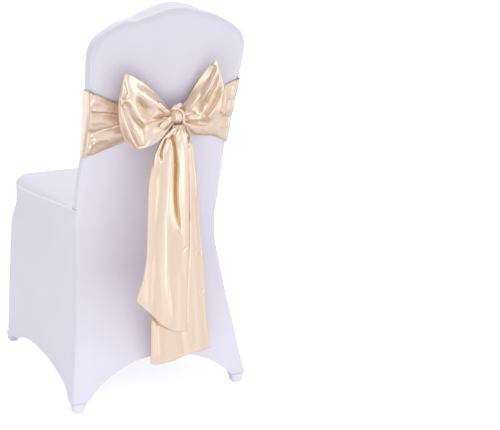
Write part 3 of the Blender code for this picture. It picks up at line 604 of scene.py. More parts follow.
KNOT_FOLDS = [
    Fold(0.0018, 0.0030, 0.0020, 1.00, 0.10, 0.10, (
        (0.0185, 0.7100), (0.0205, 0.7020), (0.0200, 0.6930), (0.0180, 0.6870),
    )),
    Fold(-0.0012, 0.0010, 0.0010, 1.00, 0.10, 0.10, (
        (0.0130, 0.7105), (0.0120, 0.7000), (0.0130, 0.6890),
    )),
]
# Strips that are wound round the knot, as lines of x, y and z
SIDE_TURN = [
    (0.0146, -0.1235, 0.7136), (0.0206, -0.1265, 0.7145), (0.0274, -0.1265, 0.7099),
    (0.0310, -0.1265, 0.7019), (0.0298, -0.1270, 0.6949), (0.0309, -0.1270, 0.6884),
    (0.0360, -0.1255, 0.6798), (0.0445, -0.1200, 0.6678), (0.0521, -0.1150, 0.6548),
    (0.0564, -0.1120, 0.6447),
]
UPPER_TURN = [
    (0.0056, -0.1180, 0.7105), (0.0078, -0.1225, 0.7160), (0.0140, -0.1235, 0.7200),
    (0.0225, -0.1215, 0.7232), (0.0330, -0.1170, 0.7253),
]
TUCKED_END = [
    (0.0052, -0.1240, 0.6977), (-0.0059, -0.1300, 0.6950), (-0.0175, -0.1335, 0.6889),
    (-0.0266, -0.1345, 0.6817), (-0.0306, -0.1335, 0.6774),
]
KNOT_STRIPS = table(
    "name line half_width fullness",
    ("side_turn", SIDE_TURN, 0.0036, 0.0034),
    ("upper_turn", UPPER_TURN, 0.0062, 0.0036),
    ("tucked_end", TUCKED_END, 0.0062, 0.0030),
)
FRONT_TAIL_DRAWN = [
    Fold(0.0018, 0.006, 0.004, 1.00, 0.03, 0.10, (
        (0.0018, 0.6600), (0.0033, 0.6299), (0.0017, 0.6075), (-0.0013, 0.5550),
        (-0.0046, 0.5102), (-0.0095, 0.4508), (-0.0093, 0.3779), (-0.0082, 0.3121),
        (0.0004, 0.2444), (0.0048, 0.1989),
    )),
    Fold(-0.0060, 0.0045, 0.024, 0.60, 0.03, 0.25, (
        (0.0048, 0.6600), (0.0135, 0.6284), (0.0180, 0.5831), (0.0165, 0.5310),
        (0.0185, 0.4943), (0.0232, 0.4539), (0.0300, 0.4100),
    )),
    Fold(-0.0062, 0.0032, 0.0058, 0.80, 0.03, 0.35, (
        (0.0055, 0.6600), (0.0142, 0.6284), (0.0187, 0.5831), (0.0172, 0.5310),
        (0.0192, 0.4943), (0.0239, 0.4539), (0.0306, 0.4100),
    )),
    Fold(-0.0080, 0.0025, 0.006, 1.00, 0.10, 0.30, (
        (-0.0090, 0.6547), (-0.0221, 0.6246), (-0.0210, 0.6055), (-0.0240, 0.5930),
    )),
    Fold(0.0015, 0.008, 0.008, 0.60, 0.10, 0.30, (
        (0.0270, 0.6500), (0.0320, 0.6203), (0.0342, 0.5837), (0.0351, 0.4637),
    )),
    Fold(-0.0025, 0.0025, 0.003, 1.00, 0.20, 0.20, ((0.0420, 0.3935), (0.0319, 0.3792))),
    Fold(0.0015, 0.010, 0.012, 1.00, 0.20, 0.05, (
        (0.0264, 0.3459), (0.0287, 0.2600), (0.0275, 0.1743),
    )),
    Fold(0.0014, 0.014, 0.014, 0.80, 0.20, 0.30, (
        (-0.0420, 0.5850), (-0.0383, 0.5379), (-0.0401, 0.5028), (-0.0420, 0.4500),
    )),
    Fold(-0.0014, 0.014, 0.012, 1.00, 0.20, 0.10, (
        (-0.0304, 0.3978), (-0.0260, 0.3121), (-0.0145, 0.2248),
    )),
    Fold(0.0014, 0.014, 0.014, 1.00, 0.20, 0.10, (
        (-0.0572, 0.3823), (-0.0569, 0.3185), (-0.0553, 0.2626),
    )),
]
REAR_TAIL_DRAWN = [
    Fold(-0.0035, 0.004, 0.012, 1.00, 0.10, 0.02, (
        (0.0545, 0.5950), (0.0560, 0.5400), (0.0580, 0.4800), (0.0590, 0.3950),
        (0.0580, 0.3360), (0.0550, 0.2760), (0.0560, 0.1900),
    )),
    Fold(-0.0025, 0.004, 0.004, 1.00, 0.02, 0.02, (
        (-0.0600, 0.2500), (-0.0385, 0.2326), (-0.0065, 0.1994), (0.0262, 0.1788),
        (0.0560, 0.1739),
    )),
    Fold(-0.0020, 0.002, 0.005, 1.00, 0.05, 0.40, (
        (0.0480, 0.6300), (0.0526, 0.5780), (0.0543, 0.5402), (0.0570, 0.4853),
        (0.0673, 0.4139),
    )),
    Fold(0.0035, 0.006, 0.010, 1.00, 0.15, 0.40, (
        (0.0600, 0.6420), (0.0640, 0.6030), (0.0730, 0.5391), (0.0770, 0.4826),
    )),
    Fold(-0.0040, 0.002, 0.002, 1.00, 0.20, 0.10, ((0.0400, 0.6460), (0.0580, 0.6424))),
    Fold(0.0035, 0.002, 0.002, 1.00, 0.20, 0.10, ((0.0400, 0.6422), (0.0580, 0.6385))),
    Fold(-0.0040, 0.002, 0.002, 1.00, 0.20, 0.10, ((0.0400, 0.6384), (0.0580, 0.6348))),
    Fold(0.0030, 0.005, 0.004, 1.00, 0.20, 0.20, ((0.0420, 0.6290), (0.0600, 0.6270))),
    Fold(-0.0020, 0.003, 0.004, 1.00, 0.20, 0.20, ((0.0790, 0.3612), (0.0950, 0.3661))),
    Fold(-0.0022, 0.003, 0.003, 1.00, 0.20, 0.20, ((0.1020, 0.2740), (0.0911, 0.2644))),
    Fold(0.0012, 0.010, 0.010, 1.00, 0.20, 0.20, (
        (0.0835, 0.3964), (0.1006, 0.2652), (0.1146, 0.1285),
    )),
    Fold(-0.0012, 0.012, 0.014, 1.00, 0.20, 0.10, (
        (0.0660, 0.3800), (0.0733, 0.2682), (0.0813, 0.1165),
    )),
    Fold(0.0020, 0.008, 0.008, 1.00, 0.20, 0.10, ((-0.0260, 0.2156), (-0.0208, 0.1173))),
    Fold(-0.0020, 0.010, 0.010, 1.00, 0.20, 0.10, ((0.0380, 0.2000), (0.0509, 0.1118))),
]
# The upper tail's own edge, turned over on itself below the knot: its two edges in x and
# z, its height, and the part of a round strip that its section takes, in half turns
TURNED_EDGE_FOLD = (
    (0.0040, 0.6740), (-0.0150, 0.6577), (-0.0272, 0.6413), (-0.0386, 0.6177), (-0.0465, 0.5905),
)
TURNED_EDGE_FREE = (
    (0.0150, 0.6740), (-0.0062, 0.6568), (-0.0160, 0.6432), (-0.0270, 0.6200), (-0.0440, 0.5873),
)
TURNED_EDGE_LIFT = 0.0045
TURNED_EDGE_ARC = (0.12, 0.62)
TURNED_EDGE_ROWS = 60
TURNED_EDGE_COLUMNS = 13


# Reading the tables

def smooth(rows, name, place):
    """A table's column at any places, on a smooth curve that never overshoots a row."""
    x = np.array([row[0] for row in rows], float)
    y = np.array([getattr(row, name) for row in rows], float)
    step = np.diff(y) / np.diff(x)
    product = step[:-1] * step[1:]
    total = np.where(product > 0.0, step[:-1] + step[1:], 1.0)
    inner = np.where(product > 0.0, 2.0 * product / total, 0.0)
    slope = np.concatenate([step[:1], inner, step[-1:]])
    place = np.clip(place, x[0], x[-1])
    i = np.clip(np.searchsorted(x, place, side="right") - 1, 0, len(x) - 2)
    width = x[i + 1] - x[i]
    t = (place - x[i]) / width
    low = (1 + 2 * t) * (1 - t) ** 2 * y[i] + t * (1 - t) ** 2 * width * slope[i]
    high = t * t * (3 - 2 * t) * y[i + 1] + t * t * (t - 1) * width * slope[i + 1]
    return low + high


def mix(low, high, part):
    """From low, where the part is 0, to high, where it is 1."""
    return low + (high - low) * part


def ease(part):
    """0 to 1 with level ends."""
    part = np.clip(part, 0.0, 1.0)
    return part * part * (3.0 - 2.0 * part)


def bump(distance, width):
    """Soft hump, 1 at distance 0."""
    return np.exp(-(distance / width) ** 2)


# Sheets

def seam_highlight_share(points, lowest=0.0):
    """Share of painted highlight: 1 on the seam along the first row, fading away from it and down
    to a lowest height.
    """
    run = run_lengths(points, 0)
    return bump(run - run[:1], SEAM_HIGHLIGHT_WIDTH) * ease((points[..., 2] - lowest) / SEAM_HIGHLIGHT_FADE)


def vertex_places(mesh):
    """Where a new primitive's vertices are."""
    flat = np.empty(len(mesh.vertices) * 3)
    mesh.vertices.foreach_get("co", flat)
    return flat.reshape(-1, 3)


def place_vertices(mesh, places):
    """Moves the vertices to places whose y is measured from the waist."""
    mesh.vertices.foreach_set("co", (places + (0.0, WAIST_Y, 0.0)).ravel())


def select_only(pieces):
    """Selects these pieces alone, with the first one active."""
    bpy.ops.object.select_all(action="DESELECT")
    for piece in pieces:
        piece.select_set(True)
    bpy.context.view_layer.objects.active = pieces[0]


def grid_piece(name, points, flipped=False, shaded_edges=False, seam=None):
    """A grid primitive with its vertices moved to rows and columns of points."""
    points = np.asarray(points, float)
    rows, columns = points.shape[:2]
    bpy.ops.object.select_all(action="DESELECT")
    bpy.ops.mesh.primitive_grid_add(x_subdivisions=columns - 1, y_subdivisions=rows - 1, size=2.0)
    piece = bpy.context.active_object
    piece.name = name
    mesh = piece.data
    mesh.name = name
    flat = vertex_places(mesh)
    column = np.rint((flat[:, 0] + 1.0) / 2.0 * (columns - 1)).astype(int)
    row = np.rint((flat[:, 1] + 1.0) / 2.0 * (rows - 1)).astype(int)
    place_vertices(mesh, points[row, column])
    across = run_lengths(points, 1)[row, column]
    along = run_lengths(points, 0)[row, column]
    corner = np.empty(len(mesh.loops), int)
    mesh.loops.foreach_get("vertex_index", corner)
    cloth = np.stack([across[corner], along[corner]], axis=1)
    mesh.uv_layers[0].data.foreach_set("uv", cloth.ravel())
    mesh.uv_layers[0].name = "cloth"
    # Painted golden shade: full deep in a fold and, for sheets with shaded edges, along the cut
    # edges
    fold_shade = mesh.attributes.new("fold_shade", "FLOAT", "POINT")
    share = fold_shade_share(points)
    if shaded_edges:
        share = np.maximum(share, EDGE_SHADE_STRENGTH * edge_shade_share(points))
    fold_shade.data.foreach_set("value", share[row, column])
    # Painted highlight along a seam of the cover, full where the share is 1
    if seam is not None:
        line = mesh.attributes.new("seam", "FLOAT", "POINT")
        line.data.foreach_set("value", seam[row, column])
    if flipped:
        mesh.flip_normals()
    mesh.update()
    return piece


def run_lengths(points, axis):
    """Length along the cloth, in metres, from the middle of each row or column."""
    steps = np.linalg.norm(np.diff(points, axis=axis), axis=2)
    pad = [(0, 0), (0, 0)]
    pad[axis] = (1, 0)
    run = np.cumsum(np.pad(steps, pad), axis=axis)
    middle = run.shape[axis] // 2
    return run - np.take(run, [middle], axis=axis)


def average(values, reach, axis):
    """Running average over a number of points each way, the edges carried on."""
    pad = [(0, 0), (0, 0)]
    pad[axis] = (reach + 1, reach)
    total = np.cumsum(np.pad(values, pad, mode="edge"), axis=axis)
    count = values.shape[axis]
    after = np.take(total, np.arange(count) + 2 * reach + 1, axis=axis)
    return (after - np.take(total, np.arange(count), axis=axis)) / (2 * reach + 1)


def fold_shade_share(points):
    """Share of painted golden shade, by how deep each point lies behind the cloth round it: 0 on
    the flat, 1 deep in a fold.
    """
    around = points[..., 1]
    for axis in (0, 1):
        spacing = np.linalg.norm(np.diff(points, axis=axis), axis=2).mean()
        reach = int(round(FOLD_SHADE_REACH / spacing))
        reach = min(max(reach, 1), points.shape[axis] // 2)
        around = average(average(around, reach, axis), reach, axis)
    return np.clip((points[..., 1] - around) / FOLD_SHADE_DEPTH, 0.0, 1.0)


def edge_shade_share(points):
    """Share of painted shade along the cut edges of a sheet: 1 on them and 0 inside the narrow
    line.
    """
    share = np.zeros(points.shape[:2])
    for axis in (0, 1):
        run = run_lengths(points, axis)
        ahead, behind = run - np.take(run, [0], axis=axis), np.take(run, [-1], axis=axis) - run
        share = np.maximum(share, 1.0 - ease(np.minimum(ahead, behind) / EDGE_SHADE_WIDTH))
    return share


def joined(name, pieces):
    """Sheets that meet along a border, made one mesh."""
    select_only(pieces)
    bpy.ops.object.join()
    bpy.ops.object.mode_set(mode="EDIT")
    bpy.ops.mesh.select_all(action="SELECT")
    bpy.ops.mesh.remove_doubles(threshold=MERGE_DISTANCE)
    bpy.ops.object.mode_set(mode="OBJECT")
    whole = bpy.context.active_object
    whole.name = name
    whole.data.name = name
    return whole


def finish_sheet(piece, node, cloth, material):
    """Gives a sheet its thickness, its finish and its place on the model."""
    select_only([piece])
    solid = piece.modifiers.new("Cloth", "SOLIDIFY")
    solid.thickness = cloth
    solid.offset = -1.0
    solid.use_even_offset = cloth == COVER_CLOTH
    bpy.ops.object.modifier_apply(modifier="Cloth")
    bpy.ops.object.shade_smooth_by_angle(angle=SMOOTH_ANGLE)
    piece.data.materials.clear()
    piece.data.materials.append(material)
    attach(piece, "root")
    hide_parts(node)
    return piece


def normals_of(points):
    """Unit normals of a grid of points."""
    over = np.gradient(points, axis=1)
    up = np.gradient(points, axis=0)
    normal = np.cross(over, up)
    return normal / np.maximum(np.linalg.norm(normal, axis=2, keepdims=True), NO_LENGTH)


# Materials

def new_material(name):
    """A material with its node tree and its shader."""
    material = bpy.data.materials.new(name)
    material.use_nodes = True
    return material, material.node_tree, material.node_tree.nodes["Principled BSDF"]


def set_inputs(tree, node, inputs):
    """Gives each input of a node its value, or the output that feeds it."""
    for name, given in inputs.items():
        if isinstance(given, bpy.types.NodeSocket):
            tree.links.new(given, node.inputs[name])
        else:
            node.inputs[name].default_value = given


def add_node(tree, kind, inputs, **settings):
    """A shader node with its settings and inputs."""
    node = tree.nodes.new("ShaderNode" + kind)
    for name, value in settings.items():
        setattr(node, name, value)
    set_inputs(tree, node, inputs)
    return node


def mixed_colour(tree, share, base, other):
    """The base colour, and the other one where the share is 1."""
    inputs = {"Factor": share, "A": base, "B": other}
    return add_node(tree, "Mix", inputs, data_type="RGBA").outputs["Result"]


def mixed_shader(tree, share, base, other):
    """The base shader, and the other one where the share is 1."""
    inputs = {"Fac": share, 1: base, 2: other}
    return add_node(tree, "MixShader", inputs).outputs["Shader"]


def noise(tree, where, scale, detail):
    """Noise stretched along an axis by an uneven scale."""
    placed = add_node(tree, "Mapping", {"Vector": where, "Scale": scale}).outputs["Vector"]
    inputs = {"Vector": placed, "Scale": 1.0, "Detail": detail}
    return add_node(tree, "TexNoise", inputs).outputs["Fac"]


def attribute(tree, name):
    """Value that a sheet holds for each of its points."""
    return add_node(tree, "Attribute", {}, attribute_name=name).outputs["Fac"]


def grain(tree, height, strength):
    """Fine relief of the cloth's threads."""
    inputs = {"Height": height, "Strength": strength, "Distance": GRAIN_DEPTH}
    return add_node(tree, "Bump", inputs).outputs["Normal"]


def stretch_cloth():
    """Matt knitted stretch cloth, bluish white, with a fine knit, faint pulled streaks and a
    painted highlight along its seams.
    """
    material, tree, shader = new_material("matt stretch knit")
    where = add_node(tree, "TexCoord", {}).outputs["Object"]
    streaks = noise(tree, where, STREAK_SCALE, 3.0)
    tint = mixed_colour(tree, streaks, KNIT_SHADE, KNIT_LIGHT)
    knit = add_node(
        tree, "TexWave", {"Vector": where, "Scale": KNIT_SCALE, "Distortion": 1.5, "Detail": 1.0},
        wave_type="BANDS", bands_direction="X"
    )
    set_inputs(tree, shader, {
        # Base colour with a painted highlight along the seams
        "Base Color": mixed_colour(tree, attribute(tree, "seam"), tint, SEAM_HIGHLIGHT_TINT),
        "Normal": grain(tree, knit.outputs["Fac"], 0.05),
        "Roughness": 0.72,
        "Specular IOR Level": 0.25,
        "Sheen Weight": 0.18,
        "Sheen Roughness": 0.45,
    })
    return material


def satin():
    """Champagne satin: long floats that shine along the weave, with golden shade painted into its
    fold hollows and along its cut edges.
    """
    material, tree, shader = new_material("champagne satin weave")
    where = add_node(tree, "TexCoord", {}).outputs["UV"]
    threads = noise(tree, where, THREAD_SCALE, 2.0)
    tint = mixed_colour(tree, threads, SATIN_SHADE, SATIN_LIGHT)
    weave = add_node(tree, "Tangent", {}, direction_type="UV_MAP", uv_map="cloth")
    set_inputs(tree, shader, {
        # Base colour with golden shade painted into the folds and along the cut edges
        "Base Color": mixed_colour(tree, attribute(tree, "fold_shade"), tint, SATIN_FOLD_SHADE),
        "Normal": grain(tree, threads, 0.02),
        "Tangent": weave.outputs["Tangent"],
        "Roughness": 0.27,
        "Specular IOR Level": 0.75,
        "Metallic": 0.75,
        "Anisotropic": 0.55,
        "Coat Weight": 0.60,
        "Coat Roughness": 0.24,
        "Coat IOR": 1.75,
    })
    return material


# Edges and seams of the cover

def edge_scale(height):
    """The rounded edge of the back is full above the seat and slim down the legs."""
    return mix(LEG_EDGE_SHARE, 1.0, ease((height - LEG_EDGE_TOP) / LEG_EDGE_FADE))


def arc(low, high, steps):
    """Angles from low to high, both kept."""
    return np.linspace(low, high, steps + 1)


def back_edge_steps():
    """Inset and rise from the seam in over the rounded edge to the flat of the back."""
    lead = np.linspace(SEAM_GAP, SEAM_LEAD, SEAM_LEAD_POINTS)
    inset = list((lead - SEAM_GAP) * math.cos(SEAM_ANGLE))
    rise = list((lead - SEAM_GAP) * math.sin(SEAM_ANGLE))
    last_inset, last_rise = inset[-1], rise[-1]
    for angle in arc(SEAM_ANGLE, 0.0, BACK_EDGE_STEPS)[1:]:
        inset.append(last_inset + BACK_EDGE_RADIUS * (math.sin(SEAM_ANGLE) - math.sin(angle)))
        rise.append(last_rise + BACK_EDGE_RADIUS * (math.cos(angle) - math.cos(SEAM_ANGLE)))
    return with_roll(inset, rise, 1.0)


def gusset_steps():
    """Inset and rise from the seam out, round to the side and forward to the front face."""
    lead = np.linspace(SEAM_GAP, SEAM_LEAD, SEAM_LEAD_POINTS)
    inset = list(-lead * math.cos(SEAM_ANGLE))
    rise = list(lead * math.sin(SEAM_ANGLE))
    last_inset, last_rise = inset[-1], rise[-1]
    for angle in arc(SEAM_ANGLE, math.pi / 2, GUSSET_REAR_STEPS)[1:]:
        inset.append(last_inset - GUSSET_REAR_RADIUS * (math.sin(angle) - math.sin(SEAM_ANGLE)))
        rise.append(last_rise + GUSSET_REAR_RADIUS * (math.cos(SEAM_ANGLE) - math.cos(angle)))
    outermost = inset[-1]
    front = BACKREST_DEPTH - BACK_RISE
    straight_end = front - GUSSET_FRONT_RADIUS
    for part in (0.25, 0.5, 0.75):
        inset.append(outermost)
        rise.append(mix(rise[-1], straight_end, part))
    for angle in arc(0.0, math.pi / 2, GUSSET_FRONT_STEPS):
        inset.append(outermost + GUSSET_FRONT_RADIUS * (1.0 - math.cos(angle)))
        rise.append(straight_end + GUSSET_FRONT_RADIUS * math.sin(angle))
    return with_roll(inset, rise, -1.0)


def with_roll(inset, rise, toward):
    """Raises the sewn edge a little, where the seam allowance is turned in under it."""
    inset, rise = np.array(inset), np.array(rise)
    run = np.concatenate([[0.0], np.cumsum(np.hypot(np.diff(inset), np.diff(rise)))])
    roll = SEAM_ROLL * bump(run, SEAM_ROLL_WIDTH)
    return inset - roll * math.sin(SEAM_ANGLE), rise + toward * roll * math.cos(SEAM_ANGLE)


BACK_RISE = back_edge_steps()[1][-1]
GUSSET_REACH = -gusset_steps()[0].min()
GUSSET_TURN = SEAM_LEAD + GUSSET_REAR_RADIUS


def gusset_rise(rise, height):
    """Rise of a gusset step where the backrest is thinner than at its top."""
    full = BACKREST_DEPTH - BACK_RISE
    here = smooth(BACKREST, "depth", height) - BACK_RISE
    beyond = np.maximum(rise - GUSSET_TURN, 0.0)
    return rise - beyond + beyond * (here - GUSSET_TURN) / (full - GUSSET_TURN)


def outline_normals(outline):
    """Outward direction at each point of an open outline that runs clockwise."""
    run = np.gradient(outline, axis=0)
    run /= np.linalg.norm(run, axis=1, keepdims=True)
    return np.stack([-run[:, 1], run[:, 0]], axis=1)


def coons(left, right, bottom, top):
    """Smooth patch between four borders."""
    up = ((left[:, 1] - left[0, 1]) / (left[-1, 1] - left[0, 1]))[:, None, None]
    over = ((top[:, 0] - top[0, 0]) / (top[-1, 0] - top[0, 0]))[None, :, None]
    between_sides = mix(left[:, None], right[:, None], over)
    between_ends = mix(bottom[None], top[None], up)
    corners = mix(mix(left[0], right[0], over), mix(left[-1], right[-1], over), up)
    return between_sides + between_ends - corners


def dished(outline, side_rows, scale, steps, bottom_height, place):
    """Face and rounded edge of a panel inside an outline that is open at the bottom."""
    normals = outline_normals(outline)
    inset, rise = steps
    size = scale(outline[:, 1])[:, None]
    border = outline - normals * inset[-1] * size
    left = border[:side_rows + 1]
    right = border[-side_rows - 1:][::-1]
    top = border[side_rows:len(border) - side_rows]
    share = (top[:, 0] - top[0, 0]) / (top[-1, 0] - top[0, 0])
    across = mix(left[0, 0], right[0, 0], share)
    bottom = np.stack([across, bottom_height(across)], axis=1)
    bottom[0], bottom[-1] = left[0], right[0]
    face = coons(left, right, bottom, top)
    face_points = place(face[..., 0], face[..., 1], rise[-1] * scale(face[..., 1]))
    spots = outline[None] - normals[None] * inset[:, None, None] * size[None]
    rises = rise[:, None] * size[None, :, 0]
    edge_points = place(spots[..., 0], spots[..., 1], rises)
    return face_points, edge_points


def backrest_outline(heights):
    """Rear seam of the cover, up its left side, over the crown and down its right side."""
    half = smooth(REAR, "half_width", heights)
    left = np.stack([-half, heights], axis=1)
    shoulder = CROWN[-1].across
    x = np.linspace(-shoulder, shoulder, CROWN_COLUMNS)
    crown = smooth(CROWN, "height", np.abs(x)) + smooth(CROWN_PULL, "height", x)
    top = np.stack([x, crown], axis=1)
    right = left[::-1] * (-1.0, 1.0)
    return np.concatenate([left, top[1:-1], right])


def heights_above_seat():
    straight = np.linspace(SEAT_LINE, SHOULDER_START, STRAIGHT_ROWS)
    shoulder = np.linspace(SHOULDER_START, SHOULDER_HEIGHT, SHOULDER_ROWS)
    return np.concatenate([straight, shoulder[1:]])


def make_back_panel(material):
    low = np.linspace(LEG_HEM, SEAT_LINE, LEG_ROWS)
    heights = np.concatenate([low[:-1], heights_above_seat()])
    outline = backrest_outline(heights)

    def place(across, along, rise):
        return np.stack([across, smooth(REAR, "rear_y", along) - rise, along], axis=-1)

    face, edge = dished(
        outline, len(heights) - 1, edge_scale, back_edge_steps(),
        lambda across: smooth(REAR_HEM, "height", np.abs(across)), place
    )
    drop = face[..., 2] - smooth(REAR_HEM, "height", np.abs(face[..., 0]))
    face += normals_of(face) * hem_relief(drop)[..., None]
    # Painted highlight along the seam, near the crown only
    seam = seam_highlight_share(edge, CROWN_HIGHLIGHT_LOWEST)
    panel = joined("rear_panel", [
        grid_piece("rear_face", face), grid_piece("rear_edge", edge, True, seam=seam)
    ])
    return finish_sheet(
        panel, "back_panel", COVER_CLOTH, material,
    )


def hem_relief(drop):
    """Double cloth of the hem, with a fine stitched groove along its upper side."""
    band = HEM_THICKENING * (1.0 - ease((drop - HEM_DEPTH + HEM_STEP / 2) / HEM_STEP))
    return band - STITCH_GROOVE * bump(drop - HEM_DEPTH + STITCH_INSET, STITCH_WIDTH)


def make_inner_back_panel(material):
    heights = heights_above_seat()
    outline = backrest_outline(heights)
    steps = gusset_steps()

    def place(across, along, rise):
        dome = smooth(CROWN_DOME, "height", across)
        near_crown = ease((along - CROWN_DOME_START) / CROWN_DOME_FADE)
        hump = dome * near_crown * rise / steps[1][-1]
        y = smooth(REAR, "rear_y", along) + gusset_rise(rise, along)
        return np.stack([across, y, along + hump], axis=-1)

    face, edge = dished(
        outline, len(heights) - 1, lambda along: np.ones_like(along), steps,
        lambda across: np.full_like(across, SEAT_LINE), place
    )
    # Painted highlight along the seam, near the crown only
    seam = seam_highlight_share(edge, CROWN_HIGHLIGHT_LOWEST)
    panel = joined("front_panel", [
        grid_piece("front_face", face, True), grid_piece("front_edge", edge, seam=seam)
    ])
    return finish_sheet(
        panel, "inner_back_panel", COVER_CLOTH, material,
    )


# Cover below the seat

def arc_point(centre, radius, angle):
    """Point in plan on a corner, from straight left at 0 to straight ahead at a quarter turn."""
    return centre[0] - radius * np.cos(angle), centre[1] + radius * np.sin(angle)


def front_corner(height):
    """Centre and radius of the front left corner in plan."""
    radius = smooth(FRONT, "radius", height)
    half_width = smooth(FRONT, "half_width", height)
    front_y = smooth(FRONT, "front_y", height)
    return (-(half_width - radius), front_y - radius), radius


def side_path(height, place):
    """Left side in plan: 0-1 turns the rear corner, 1-2 runs forward, 2-3 turns the front."""
    half_width = smooth(REAR, "half_width", height)
    rear_y = smooth(REAR, "rear_y", height)
    cos_seam = math.cos(SEAM_ANGLE)
    sin_seam = math.sin(SEAM_ANGLE)
    start = (-half_width - SEAM_LEAD * cos_seam, rear_y + SEAM_LEAD * sin_seam)
    rear_centre = (
        start[0] + LEG_CORNER_RADIUS * sin_seam,
        start[1] + LEG_CORNER_RADIUS * cos_seam,
    )
    front_centre, radius = front_corner(height)
    if place < 0.5:
        near = (-half_width - SEAM_GAP * cos_seam, rear_y + SEAM_GAP * sin_seam)
        part = place / 0.5
        run = part * SEAM_LEAD
        roll = SEAM_ROLL * bump(run, SEAM_ROLL_WIDTH)
        x = mix(near[0], start[0], part) - roll * sin_seam
        return x, mix(near[1], start[1], part) - roll * cos_seam
    if place <= 1.0:
        angle = mix(SEAM_ANGLE - math.pi / 2, 0.0, (place - 0.5) / 0.5)
        return arc_point(rear_centre, LEG_CORNER_RADIUS, angle)
    if place <= 2.0:
        part = place - 1.0
        rear = arc_point(rear_centre, LEG_CORNER_RADIUS, 0.0)
        front = arc_point(front_centre, radius, 0.0)
        return mix(rear[0], front[0], part), mix(rear[1], front[1], part)
    end = math.pi / 4 - SEAM_GAP / (2.0 * radius)
    return arc_point(front_centre, radius, end * (place - 2.0))


def front_path(height, place):
    """Front in plan: 0-1 leaves the left corner seam, 1-2 crosses, 2-3 turns to the right."""
    if place > 1.5:
        x, y = front_path(height, 3.0 - place)
        return -x, y
    centre, radius = front_corner(height)
    start = math.pi / 4 + SEAM_GAP / (2.0 * radius)
    if place < 1.0:
        return arc_point(centre, radius, mix(start, math.pi / 2, place))
    x, y = arc_point(centre, radius, math.pi / 2)
    return mix(x, -x, place - 1.0), y


def skirt_points(places, path, hem_of, rows):
    """Grid of a skirt: each column runs up one place of the path from hem to seat seam."""
    columns = []
    for place in places:
        hem = hem_of(path(HEM_PLAN_HEIGHT, place))
        top = smooth(SEAT, "seam_height", path(SEAT_LINE, place)[1]) - SEAM_GAP
        height = mix(hem, top, rows)
        x, y = path(height, place)
        columns.append(np.stack([x + 0.0 * height, y + 0.0 * height, height], axis=1))
    return np.stack(columns, axis=1)


def skirt_rows():
    """Rows of a skirt as shares of its height, closer together near the seat seam."""
    even = np.linspace(0.0, EVEN_SKIRT, EVEN_SKIRT_ROWS)
    return np.concatenate([even, np.linspace(EVEN_SKIRT, 1.0, SEAM_ROWS)[1:]])


def sewn_relief(points, outward):
    """Hem along the bottom and the seam roll along the top of a skirt."""
    up = run_lengths(points, 0)
    from_hem = up - up[:1]
    from_seam = up[-1:] - up
    relief = hem_relief(from_hem) + SEAM_ROLL * bump(from_seam, SEAM_ROLL_WIDTH)
    return points + normals_of(points) * (outward * relief)[..., None]


def make_side_skirt(name, node, side, material):
    lead = np.linspace(0.0, LEAD_END, LEAD_COLUMNS)
    rear = np.linspace(0.5, 1.0, REAR_CORNER_COLUMNS)
    middle = np.linspace(1.0, 2.0, SIDE_COLUMNS)
    front = np.linspace(2.0, 3.0, SIDE_CORNER_COLUMNS)
    places = np.concatenate([lead, rear, middle[1:], front[1:]])
    points = skirt_points(
        places, side_path, lambda spot: smooth(SIDE_HEM, "height", spot[1]), skirt_rows()
    )
    points = sewn_relief(points, -1.0)
    points[..., 0] *= -side
    # Painted highlight along the seat seam at the top of the skirt
    skirt = grid_piece(name, points, flipped=side < 0, seam=seam_highlight_share(points[::-1])[::-1])
    return finish_sheet(
        skirt, node, COVER_CLOTH, material,
    )


def make_front_skirt(material):
    corner = np.linspace(0.0, 1.0, FRONT_CORNER_COLUMNS)
    middle = np.linspace(1.0, 2.0, FRONT_COLUMNS)
    places = np.concatenate([corner, middle[1:], 2.0 + corner[1:]])
    points = skirt_points(
        places, front_path,
        lambda spot: smooth(REAR_HEM, "height", np.abs(spot[0]) * FRONT_ARCH_SPREAD),
        skirt_rows()
    )
    points = sewn_relief(points, -1.0)
    # Painted highlight along the seat seam at the top of the skirt
    skirt = grid_piece("front_skirt", points, flipped=True, seam=seam_highlight_share(points[::-1])[::-1])
    return finish_sheet(
        skirt, "skirt_front", COVER_CLOTH, material,
    )


def seat_outline():
    """Edge of the seat: its left side up to the front corner, its front and its right side."""
    straight_end = side_path(SEAT_LINE, 2.0)
    straight_start = side_path(SEAT_LINE, 1.0)
    y = np.linspace(SEAT_REAR_Y, straight_end[1], SEAT_SIDE_POINTS)
    part = (y - straight_start[1]) / (straight_end[1] - straight_start[1])
    run = np.stack([mix(straight_start[0], straight_end[0], part), y], axis=1)
    turning = np.linspace(0.0, 1.0, SEAT_CORNER_POINTS)[1:]
    turn = [side_path(SEAT_LINE, 2.0 + place) for place in turning]
    left = np.concatenate([run, np.array(turn)])
    corner = np.array([front_path(SEAT_LINE, place) for place in turning])
    middle = np.linspace(corner[-1], corner[-1] * (-1.0, 1.0), SEAT_FRONT_POINTS)[1:-1]
    front = np.concatenate([corner, middle, corner[::-1] * (-1.0, 1.0)])
    right = left[::-1] * (-1.0, 1.0)
    return left, front, right


